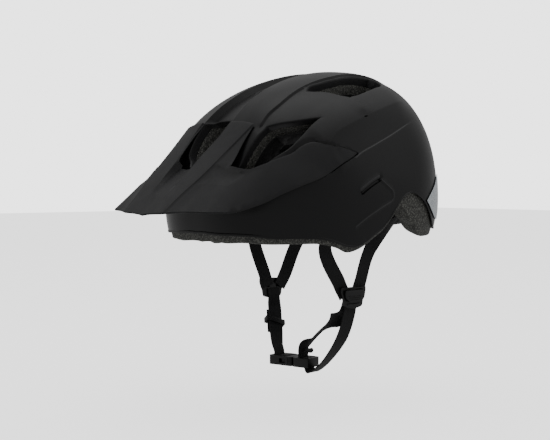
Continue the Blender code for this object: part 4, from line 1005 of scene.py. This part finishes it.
visor_edge = curve(VISOR_OUTLINE, 1.1)
recess_line = curve(recess + recess[:1], 1.0)
lines = [visor_rib, beside(visor_rib, -1.5), beside(visor_rib, -3.0), visor_slot,
         beside(visor_slot, 0.8), beside(visor_rib, -0.5), recess_line,
         [tuple(p) for p in np.array(curve(recess, 1.0, closed=True)) * 0.985 + [0.35, -1.2]]]
peak_flat, peak_tris = half_map(visor_edge, [], lines, 1.25)
peak_lift = visor_lift(peak_flat) + visor_detail(peak_flat)
ground = outer_lift(peak_flat)
wing = smooth((front_turn(peak_flat) - 28.0) / 8.0)
flush = np.maximum(ground + WING_GAP + WING_THIN, np.minimum(peak_lift, 0.5))
tip_share = smooth((peak_flat[:, 1] + 72.0) / 16.0) * wing
peak_lift = peak_lift * (1.0 - tip_share) + flush * tip_share
peak_under = np.where(wing > 0.0, np.maximum(peak_lift - VISOR_THICKNESS, ground + WING_GAP),
                      peak_lift - VISOR_THICKNESS)
peak_lift = np.maximum(peak_lift, peak_under + WING_THIN)
VISOR_EDGE = [(0.16, -0.08), (0.34, -0.35), (0.38, -0.7), (0.3, -0.9)]
visor = body_of_layers("visor_peak", peak_flat, peak_tris,
                       on_form(peak_flat, OUTER, peak_lift),
                       on_form(peak_flat, OUTER, peak_under),
                       rolled(OUTER, peak_lift, VISOR_EDGE), visor_paint)
folded = folded_map(peak_flat)
# Painted shade: dark lines along the rib's inner edge, the recess outline and the air slot.
add_attribute(visor, "groove", np.clip(
    drawn(folded, beside(visor_rib, -0.3), 0.6) + 0.6 * drawn(folded, recess_line, 0.5)
    + 0.5 * drawn(folded, visor_slot, 0.5), 0.0, 1.0))
stand_for(visor, "visor")
print("visor:", len(visor.data.polygons), "faces")

# %% [markdown]
# ## Reflective panels
# Behind each ear a film of glass beads is heat-pressed on the shell. It is thin, so it is
# drawn on the map like a vent and lifted a little over the surface.

# %% Reflectors
FILM_TOP, FILM_THICKNESS = 1.2, 0.5
film_edge = curve(REFLECTOR_OUTLINE, 1.4, closed=True)
for side, label in ((1, "left"), (-1, "right")):
    film_flat, film_tris = half_map(film_edge, [], [], 2.0, mirrored=False)
    if side < 0:
        film_flat, film_tris = film_flat * [-1.0, 1.0], film_tris[:, ::-1]
    film_lift = np.full(len(film_flat), FILM_TOP)
    film = body_of_layers("reflective_panel_" + label, film_flat, film_tris,
                          on_form(film_flat, OUTER, film_lift),
                          on_form(film_flat, OUTER, film_lift - FILM_THICKNESS),
                          rolled(OUTER, film_lift, [(0.1, -0.1), (0.15, -0.25), (0.1, -0.4)]),
                          film_paint)
    stand_for(film, "reflector_" + label)
print("film points:", len(film_flat))

# %% [markdown]
# ## Pads
# The pads are foam wrapped in knitted cloth and stuck to the liner. Each starts as a block
# bent along the cavity wall, a little smaller than its place. A voxel remesh gives it even
# faces, and Blender's Cloth with some pressure swells it until its corners pull in. The
# sewn line is pressed in afterwards, because the remesh would lose it.


# %% Lofts along the cavity
def on_cavity(turn, tilt, inset=0.0):
    """A point on the cavity's wall, or inset from it."""
    return on_form(np.array([polar(turn, tilt)]), CAVITY, -inset)[0]


CORNER, CORNER_DEPTH = 0.12, 0.35


def section_ring(count=5):
    """A rounded rectangle's outline as (height share -1..1, depth share 0..1)."""
    ring = []
    for k, (sx, sy) in enumerate(((1, 0), (1, 1), (-1, 1), (-1, 0))):
        for i in range(count):
            turn = math.radians(-90 + 90 * k + 90 * i / (count - 1))
            ring.append((sx * (1 - CORNER) + CORNER * math.cos(turn),
                         0.5 + (2 * sy - 1) * (0.5 - CORNER_DEPTH)
                         + CORNER_DEPTH * math.sin(turn)))
    return ring


def tube_faces(rows, size):
    """The faces of rows of size points joined into a tube with closed ends."""
    sides = [(i * size + k, i * size + (k + 1) % size, (i + 1) * size + (k + 1) % size,
              (i + 1) * size + k) for i in range(rows - 1) for k in range(size)]
    return sides + [tuple(reversed(range(size))),
                    tuple((rows - 1) * size + k for k in range(size))]


def cavity_loft(name, turns, tilts, height, inset, thickness, paint, cells, taper=1.0,
                round_ends=True):
    """A closed strip along the cavity's wall, with rounded edges."""
    ring = section_ring()
    verts = []
    for i in range(cells + 1):
        t = i / cells
        turn = turns[0] + (turns[1] - turns[0]) * t
        tilt = tilts[0] + (tilts[1] - tilts[0]) * t
        reach = np.linalg.norm(on_cavity(turn, tilt) - CENTRE)
        end = abs(2.0 * t - 1.0)
        half = math.degrees(0.5 * height / reach) * (1.0 - end ** 4 * (1.0 - taper))
        thin = 1.0
        if round_ends:
            thin = math.sqrt(max(0.05, 1.0 - max(0.0, (end - 0.94) / 0.06) ** 2))
        for v, w in ring:
            verts.append(on_cavity(turn, tilt + half * v * thin,
                                   inset + thickness * (0.5 + (w - 0.5) * thin)))
    return finished(mesh_object(name, verts, tube_faces(cells + 1, len(ring)), paint.mat), 40)


def finished(obj, sharp):
    """Turns the faces of a closed mesh outwards, and shades it smooth up to an angle."""
    outward(obj)
    obj.data.shade_smooth()
    obj.data.set_sharp_from_angle(angle=math.radians(sharp))
    return obj


def outward(obj):
    work = bmesh.new()
    work.from_mesh(obj.data)
    bmesh.ops.recalc_face_normals(work, faces=work.faces)
    work.to_mesh(obj.data)
    work.free()


print("section points:", len(section_ring()))


# %% Plumping
def points_of(mesh):
    co = np.zeros(len(mesh.vertices) * 3, np.float32)
    mesh.vertices.foreach_get("co", co)
    return co.reshape(-1, 3).astype(float)


def baked(obj):
    """Applies an object's modifiers to its mesh."""
    graph = bpy.context.evaluated_depsgraph_get()
    mesh = bpy.data.meshes.new_from_object(obj.evaluated_get(graph))
    mats = list(obj.data.materials)
    obj.modifiers.clear()
    obj.data = mesh
    mesh.materials.clear()
    for mat in mats:
        mesh.materials.append(mat)
    return mesh


def plump(obj, cap, voxel=0.0022, pressure=4.0):
    """Swells a pad under pressure, but moves no point further than cap."""
    remesh = obj.modifiers.new("even", "REMESH")
    remesh.mode = "VOXEL"
    remesh.voxel_size = voxel
    start = points_of(baked(obj))
    cloth = obj.modifiers.new("swell", "CLOTH")
    cloth.settings.use_pressure = True
    cloth.settings.uniform_pressure_force = pressure
    cloth.settings.effector_weights.gravity = 0.0
    cloth.settings.mass = 0.2
    cloth.point_cache.frame_end = 20
    for frame_number in range(1, 21):
        bpy.context.scene.frame_set(frame_number)
    swollen = points_of(baked(obj))
    move = swollen - start
    length = np.linalg.norm(move, axis=1)
    move *= np.minimum(1.0, cap / np.maximum(length, 1e-9))[:, None]
    obj.data.vertices.foreach_set("co", (start + move).ravel())
    bpy.context.scene.frame_set(1)
    print(obj.name, "swelled by up to", round(float(length.max()) * 1000, 2), "mm")
    even = obj.modifiers.new("even", "SUBSURF")
    even.levels = even.render_levels = 1
    baked(obj)
    obj.data.shade_smooth()


def sewn_line(obj, map_line, width, depth):
    """Presses a channel into a pad along a line on the map."""
    co = points_of(obj.data) / MM
    away = co - CENTRE
    reach = np.linalg.norm(away, axis=1)
    tilt = np.degrees(np.arccos(away[:, 2] / reach))
    flat_reach = np.hypot(away[:, 0], away[:, 1])
    at = tilt[:, None] * away[:, :2] / np.maximum(flat_reach, 1e-6)[:, None]
    off, _ = from_line(at, map_line)
    press = depth * np.exp(-(off / width) ** 2)
    middle = form_distance(away / reach[:, None], CAVITY) - 3.6
    press = np.where(reach < middle, press, 0.0)
    co += away / reach[:, None] * press[:, None]
    obj.data.vertices.foreach_set("co", (co * MM).astype(np.float32).ravel())


print("plumping is", "on")

# %% Brow, side and rear pads
PADS = [("brow_cushion", "brow_pad", (-41, 41), (86, 86), 27.0, 1.5, 3.6, 0.6),
        ("side_cushion_left", "side_pad_left", (65, 111), (66, 66), 31.0, 1.5, 3.6, 0.6),
        ("side_cushion_right", "side_pad_right", (-65, -111), (66, 66), 31.0, 1.5, 3.6, 0.6),
        ("rear_cushion", "cradle_pad", (157, 203), (103, 103), 15.5, 7.3, 2.8, 0.7)]
for name, node, turns, tilts, height, inset, thick, taper in PADS:
    pad = cavity_loft(name, turns, tilts, height, inset, thick, pad_paint, 30, taper)
    plump(pad, 0.0007)
    inner = [polar(turns[0] + (turns[1] - turns[0]) * t, tilts[0])
             for t in np.linspace(0.12, 0.88, 12)]
    sewn_line(pad, inner, 0.55, 0.9)
    stand_for(pad, node)
    print(name, len(pad.data.vertices), "points")

# %% Crown pad
low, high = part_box("crown_pad")
mesh = nodes["crown_pad"].data.copy()
crown = placed_object("crown_cushion", mesh)
middle = (np.array(low) + np.array(high)) / 2
co = points_of(mesh)
mesh.vertices.foreach_set("co", (middle + (co - middle) * [0.93, 0.93, 0.84]).ravel())
mesh.materials.clear()
mesh.materials.append(pad_paint.mat)
plump(crown, 0.0006)
co = points_of(crown.data)
co[:, 2] = np.clip(co[:, 2], low.z, None)
crown.data.vertices.foreach_set("co", co.ravel())
stand_for(crown, "crown_pad")
print("crown pad", len(co), "points")

# %% [markdown]
# ## Webbing
# A helmet strap is flat polyester webbing, 15 mm wide, with slightly thicker woven edges.
# Each one is swept along a smooth line with its width turned as the strap twists. Cloth
# simulation would lose so thin a strip, so it is shaped directly, and its length and width
# in millimetres are kept as attributes so that the weave follows the strap.


# %% Straps
STRAP_WIDTH = 15.0
STRAP_THICKNESS = 1.3


def sweep_line(points, count):
    """A Catmull-Rom line through the points."""
    pts = [np.array(p, float) for p in points]
    pts = [2 * pts[0] - pts[1]] + pts + [2 * pts[-1] - pts[-2]]
    spans = len(pts) - 3
    out = []
    for i in range(count + 1):
        s = min(i * spans / count, spans - 1e-9)
        k, t = int(s), s - int(s)
        a, b, c, d = pts[k:k + 4]
        out.append(0.5 * (2 * b + (c - a) * t + (2 * a - 5 * b + 4 * c - d) * t ** 2
                          + (3 * b - a - 3 * c + d) * t ** 3))
    return np.array(out)


def webbing_section():
    """The strap's outline: (across, through) as shares of its half width and thickness."""
    top = [(u, 0.78 + 0.22 * smooth((abs(u) - 0.72) / 0.18)) for u in np.linspace(-0.97, 0.97, 15)]
    low = [(u, -h) for u, h in reversed(top)]
    return top + [(1.0, 0.45), (1.0, -0.45)] + low + [(-1.0, -0.45), (-1.0, 0.45)]


def webbing(name, points, across, count=96):
    """A strap along a line. across is its width direction at even places along it."""
    path = sweep_line(points, count)
    sides = [np.array(a, float) for a in across]
    section = webbing_section()
    verts, u_mm, v_mm = [], [], []
    run = 0.0
    for i, centre in enumerate(path):
        along = path[min(i + 1, count)] - path[max(i - 1, 0)]
        along /= np.linalg.norm(along)
        s = i * (len(sides) - 1) / count
        k = min(int(s), len(sides) - 2)
        wide = sides[k] * (k + 1 - s) + sides[k + 1] * (s - k)
        wide -= wide.dot(along) * along
        wide /= np.linalg.norm(wide)
        thick = np.cross(along, wide)
        if i:
            run += np.linalg.norm(centre - path[i - 1])
        for u, v in section:
            verts.append(centre + wide * u * STRAP_WIDTH / 2 + thick * v * STRAP_THICKNESS / 2)
            u_mm.append(u * STRAP_WIDTH / 2)
            v_mm.append(run)
    obj = mesh_object(name, verts, tube_faces(count + 1, len(section)), webbing_paint.mat)
    add_attribute(obj, "strap_u", u_mm)
    add_attribute(obj, "strap_v", v_mm)
    return finished(obj, 50)


print("strap section points:", len(webbing_section()))

# %% Left and right V straps
CAVITY_SIDE = CAVITY["width"] - 18.0
ANCHOR_TILT = 76.0
FORWARD = np.array([0.0, 1.0, 0.0])
joints = {}
for side, label in ((1, "left"), (-1, "right")):
    x = side * CAVITY_SIDE
    shift = 12.0 if side > 0 else -8.0
    joint = np.array([x * 0.94, -13.0 - 0.3 * shift, -177.0])
    joints[side] = joint
    for part, turn, rim_y, spread in (("front", 56.0, -41.0 - shift, -7.9),
                                      ("rear", 126.0, 20.0 - shift, 7.9)):
        rim = np.array([x, rim_y, -128.0 if part == "front" else -129.0])
        end = joint + np.array([0.0, spread, 1.0])
        here = side * turn
        normal = np.cross(on_cavity(here + 0.5, ANCHOR_TILT) - on_cavity(here - 0.5, ANCHOR_TILT),
                          on_cavity(here, ANCHOR_TILT + 0.5) - on_cavity(here, ANCHOR_TILT - 0.5))
        normal *= math.copysign(1.0, normal @ (on_cavity(here, ANCHOR_TILT) - CENTRE))
        along = np.cross(normal / np.linalg.norm(normal), (0, 0, 1))
        along = along / np.linalg.norm(along) * math.copysign(1.0, along[1])
        lead = end + (rim - end) * (12.0 / (rim[2] - end[2]))
        lead[0] = end[0]
        line = [on_cavity(here, 80.6, 3.6), on_cavity(here, 86.0, 8.6),
                on_cavity(here, 99.0, 10.1), rim, lead, end]
        strap = webbing("webbing_%s_%s" % (part, label), line,
                        [along, along, along, FORWARD, FORWARD, FORWARD])
        stand_for(strap, "%s_strap_%s" % (part, label))
print("strap joints at", [tuple(j.round(1)) for j in joints.values()])

# %% [markdown]
# ## Chin straps
# Below the joints the strap runs under the chin. On the wearer's right it hangs almost
# straight to the buckle, and its folded end lies beside it inside a sliding keeper. On the
# left it goes round the buckle's bar and comes back up, which leaves two open curves.

# %% Chin strap lines
TURN = math.radians(12.0)
U = np.array([math.cos(TURN), math.sin(TURN), 0.0])
V = np.array([-math.sin(TURN), math.cos(TURN), 0.0])
BUCKLE = np.array([-4.0, -33.0, -243.0])
FEMALE_SLOT, MALE_SLOT, INNER_SLOT = -16.8, 19.8, 12.6
UP = np.array([0.0, 0.0, 1.0])


def in_buckle(along, across=0.0, up=0.0):
    return BUCKLE + U * along + V * across + UP * up


right_top = joints[-1] + [1.2, 0.0, -14.0]
slot = in_buckle(FEMALE_SLOT)
lean = in_buckle(FEMALE_SLOT - 5.5, 3.5, 15.0)
line = [joints[-1] - UP, right_top, right_top + (lean - right_top) / 3.0,
        right_top + (lean - right_top) * 2.0 / 3.0, lean, slot + [-0.8, 0.6, 7.5], slot + UP,
        slot - 3.5 * UP]
chin_right = webbing("webbing_chin_right", line, [FORWARD] * 4 + [V] * 4)
stand_for(chin_right, "chin_strap_right")
along = (lean - right_top) / np.linalg.norm(lean - right_top)
wide = FORWARD - FORWARD.dot(along) * along
wide /= np.linalg.norm(wide)
out = np.cross(along, wide)
out *= -1.0 if out[0] > 0 else 1.0
aside = out * (STRAP_THICKNESS + 0.4) - wide * 1.2
start, end = right_top + along * 14.0 + aside, lean - along * 12.0 + aside
tail = webbing("webbing_tail_right", [start, end], [wide, wide], count=24)
stand_for(tail, "strap_tail_right")

joint = joints[1]
outer_bar, inner_bar = in_buckle(MALE_SLOT), in_buckle(INNER_SLOT)
line = [joint - UP, joint + [-2.5, 0.0, -18.0], joint + [-9.0, -4.0, -41.0],
        joint + [-24.0, -9.0, -63.0], outer_bar + [5.0, 1.0, -8.8],
        outer_bar + [0.3, 0.0, -6.0], outer_bar + [0.0, 0.0, 2.5]]
chin_left = webbing("webbing_chin_left", line, [FORWARD] * 3 + [V] * 4, 120)
facing = np.array([0.766, -0.643, 0.0])
line = [joint + [-1.7, 0.0, -1.0], joint + [-6.7, -3.0, -16.0], joint + [-22.0, -14.0, -31.0],
        joint + [-38.0, -17.0, -46.0], inner_bar + [1.0, 0.0, 9.0], inner_bar + UP,
        inner_bar - 3.5 * UP]
chin_return = webbing("webbing_return_left", line, [FORWARD, FORWARD, facing, facing, V, V, V],
                      120)
bridge(chin_left, "chin_strap_left", joint, outer_bar)
bridge(chin_return, "chin_strap_left_return", joint, inner_bar)
print("chin straps:", 4)

# %% [markdown]
# ## Small plastic parts
# Clips, levers and rings are injection moulded, so no edge is truly sharp. Where the packed
# part already has the right shape, its copy only gets rounded edges. Where the real part
# has ribs or a finger grip, they are swept on to it.


# %% Rounded copies and ribs
def rounded_copy(name, node, paint, radius, segments=2, alone=True):
    """A CAD node's shape with rounded edges, standing for that node if it moves alone."""
    work = bmesh.new()
    work.from_mesh(nodes[node].data)
    bmesh.ops.remove_doubles(work, verts=work.verts, dist=1e-6)
    bmesh.ops.dissolve_limit(work, angle_limit=math.radians(3), verts=work.verts,
                             edges=work.edges)
    mesh = bpy.data.meshes.new(name)
    work.to_mesh(mesh)
    work.free()
    mesh.materials.append(paint.mat)
    obj = placed_object(name, mesh)
    soften(obj, radius, segments)
    return stand_for(obj, node) if alone else obj


def soften(obj, radius, segments=2):
    """Rounds an object's sharp edges."""
    bevel = obj.modifiers.new("edges", "BEVEL")
    bevel.width = radius * MM
    bevel.segments = segments
    bevel.limit_method = "ANGLE"
    bevel.angle_limit = math.radians(34)
    baked(obj)
    obj.data.shade_smooth()
    obj.data.set_sharp_from_angle(angle=math.radians(42))


def placed(points, origin, x_axis, z_axis):
    """Local points (mm) placed with their X and Z along two directions."""
    z = np.array(z_axis, float) / np.linalg.norm(z_axis)
    x = np.array(x_axis, float) - np.dot(x_axis, z) * z
    x /= np.linalg.norm(x)
    return np.asarray(points) @ np.array([x, np.cross(z, x), z]) + origin


def plate(name, outline, low, high, place, paint, radius, holes=()):
    """A flat part with rounded edges: place is (origin, X direction, Z direction)."""
    loops = [list(outline)] + [list(h) for h in holes]
    points, edges = [], []
    for loop in loops:
        first = len(points)
        points += [Vector(p) for p in loop]
        edges += [(first + i, first + (i + 1) % len(loop)) for i in range(len(loop))]
    found = delaunay_2d_cdt(points, edges, [], 0, 1e-5)
    flat = np.array([(v.x, v.y) for v in found[0]])
    tris = np.array([f for f in found[2] if len(f) == 3])
    middle = flat[tris].mean(axis=1)
    keep = inside(middle, loops[0])
    for hole in loops[1:]:
        keep &= ~inside(middle, hole)
    tris = tris[keep]
    count = len(flat)
    verts = np.vstack([np.column_stack([flat, np.full(count, z)]) for z in (high, low)])
    faces = [tuple(t) for t in tris] + [tuple(count + t[::-1]) for t in tris]
    for loop in free_edges(tris):
        for i, a in enumerate(loop):
            b = loop[(i + 1) % len(loop)]
            faces.append((b, a, count + a, count + b))
    obj = mesh_object(name, placed(verts, *place), faces, paint.mat)
    outward(obj)
    soften(obj, radius, 3)
    return obj


def swept_bar(points, radius, place, sides=10):
    """A round bar along local points, with closed ends."""
    path = sweep_line(points, 6 * (len(points) - 1))
    verts = []
    for i, centre in enumerate(path):
        along = path[min(i + 1, len(path) - 1)] - path[max(i - 1, 0)]
        along /= np.linalg.norm(along)
        a = np.cross(along, (0, 0, 1.0))
        a = a / np.linalg.norm(a) if np.linalg.norm(a) > 1e-6 else np.array([1.0, 0, 0])
        b = np.cross(a, along)
        thin = 0.55 if i in (0, len(path) - 1) else 1.0
        verts += [centre + radius * thin * (a * math.cos(t) + b * math.sin(t))
                  for t in np.linspace(0, 2 * math.pi, sides, endpoint=False)]
    return placed(np.array(verts), *place), tube_faces(len(path), sides)


def add_to(obj, *parts):
    """Adds (points in mm, faces) to an object's mesh."""
    work = bmesh.new()
    work.from_mesh(obj.data)
    for points, faces in parts:
        made = [work.verts.new(tuple(p * MM)) for p in points]
        fresh = [work.faces.new([made[i] for i in f]) for f in faces]
        bmesh.ops.recalc_face_normals(work, faces=fresh)
        for face in fresh:
            face.smooth = True
    work.to_mesh(obj.data)
    work.free()
    return obj


print("plate and bar helpers ready")

# %% Dividers and their levers
DIVIDER = [(-15.5, 9.0), (-15.5, 5.0), (-12.5, -2.0), (-9.5, -9.5), (9.5, -9.5), (12.5, -2.0),
           (15.5, 5.0), (15.5, 9.0)]
WINDOW = [(-11.8, 5.6), (-9.6, 0.2), (-4.2, 0.2), (-4.2, 5.6)]
LEVER = [(-12.3, 0.9), (-12.3, -2.5), (-10.8, -7.0), (-7.0, -9.8), (7.0, -9.8), (10.8, -7.0),
         (12.3, -2.5), (12.3, 0.9)]
for side, label in ((1, "left"), (-1, "right")):
    joint = joints[side]
    place = (joint + [side * 1.05, 0.0, 0.0], (0, side, 0), (side, 0, 0))
    holes = [WINDOW, [(-x, y) for x, y in reversed(WINDOW)]]
    holes = [curve(h, 1.0, closed=True, corner=20.0) for h in holes]
    body = plate("divider_plate_" + label, curve(DIVIDER, 1.2, closed=True, corner=75.0), 0.0,
                 3.0, place, plastic_paint, 0.7, holes)
    bars = [swept_bar([(-8.6, -6.9, 3.0), (0, -7.3, 3.2), (8.6, -6.9, 3.0)], 1.0, place),
            swept_bar([(-14.0, 7.4, 3.0), (0, 8.6, 3.3), (14.0, 7.4, 3.0)], 0.8, place)]
    stand_for(add_to(body, *bars), "divider_" + label)
    hinge = (joint + [side * 5.65, 0.0, 5.5], (0, side, 0), (side, 0, 0))
    lever = plate("lever_flap_" + label, curve(LEVER, 1.2, closed=True, corner=75.0), -1.1, 1.1,
                  hinge, plastic_paint, 0.7)
    ribs = [swept_bar([(-w, y, 1.1), (0.0, y - 0.5, 1.35), (w, y, 1.1)], 0.5, hinge)
            for w, y in ((9.0, -4.6), (8.2, -6.4), (6.6, -8.2))]
    barrel = swept_bar([(-11.9, 0.0, 0.0), (0.0, 0.0, 0.0), (11.9, 0.0, 0.0)], 1.35, hinge)
    stand_for(add_to(lever, barrel, *ribs), "divider_lever_" + label)
print("dividers and levers:", 4)

# %% Buckle and keeper
female = rounded_copy("buckle_case", "buckle_female", plastic_paint, 0.7, 3)
male = rounded_copy("buckle_tongue", "buckle_male", plastic_paint, 0.6, 3)
face = (BUCKLE, tuple(U), (0, 0, 1))
ribs = [swept_bar([(x, -9.6, 4.4), (x, 0.0, 4.7), (x, 9.6, 4.4)], 0.7, face)
        for x in (-8.5, -5.9, -3.3)]
ribs += [swept_bar([(x, -10.4, -3.2), (x, -10.7, 0.0), (x, -10.4, 3.2)], 0.6, face)
         for x in (1.2, 3.0, 4.8)]
add_to(female, *ribs)
add_to(male, swept_bar([(8.2, -10.3, 3.6), (14.0, -10.6, 3.9), (22.0, -10.3, 3.6)], 0.7, face))
rounded_copy("keeper_ring", "strap_keeper", plastic_paint, 0.5, 3)
print("buckle halves and keeper")

# %% [markdown]
# ## Head ring and dial
# A band grips the head inside the helmet. Its rear half is a cradle with a ratchet dial
# that pulls the band tight, hung from the liner on a stem.

# %% Ring, cradle and dial
for side, label in ((1, "left"), (-1, "right")):
    ring = cavity_loft("head_band_" + label, (side * 52.0, side * 147.3), (90.0, 103.0), 13.0,
                       3.4, 2.0, plastic_paint, 64, round_ends=False)
    bridge(ring, "headband_" + label, on_cavity(side * 60.0, 91.0),
           on_cavity(side * 146.0, 103.0))
    for node in ("temple_anchor_", "strap_anchor_front_", "strap_anchor_rear_"):
        rounded_copy(node + "cap_" + label, node + label, plastic_paint, 0.35)
    rounded_copy("visor_peg_" + label, "visor_pivot_" + label, plastic_paint, 0.2)
    rounded_copy("visor_bush_" + label, "pivot_socket_" + label, plastic_paint, 0.2)
cradle = cavity_loft("cradle_arms", (148.0, 212.0), (103.0, 103.0), 26.0, 4.0, 2.4,
                     plastic_paint, 48, 0.55, round_ends=False)
stand_for(cradle, "cradle")
stem = rounded_copy("cradle_stem", "cradle_hanger", plastic_paint, 0.3, alone=False)
low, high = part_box("cradle_hanger")
bridge(stem, "cradle_hanger", (0.0, high.y / MM, high.z / MM),
       (0.0, low.y / MM, low.z / MM))
rounded_copy("reel_case", "reel_housing", plastic_paint, 0.8, 3)
rounded_copy("reel_back", "reel_cover", plastic_paint, 0.3)
rounded_copy("reel_drum", "reel_spool", plastic_paint, 0.2)
rounded_copy("dial_knob", "adjuster_dial", dial_paint, 0.4)
rounded_copy("dial_bolt", "dial_screw", steel_paint, 0.2)

# %% [markdown]
# ## Sizes
# The finished surfaces may stand a little outside the imported part's box. Both boxes
# are printed.

# %% Sizes
new_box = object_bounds()
sizes = {"cad": [list(corner) for corner in cad_box],
         "visual": [list(corner) for corner in new_box]}
for name, box in sizes.items():
    print(name, [[round(v * 1000, 1) for v in corner] for corner in box])
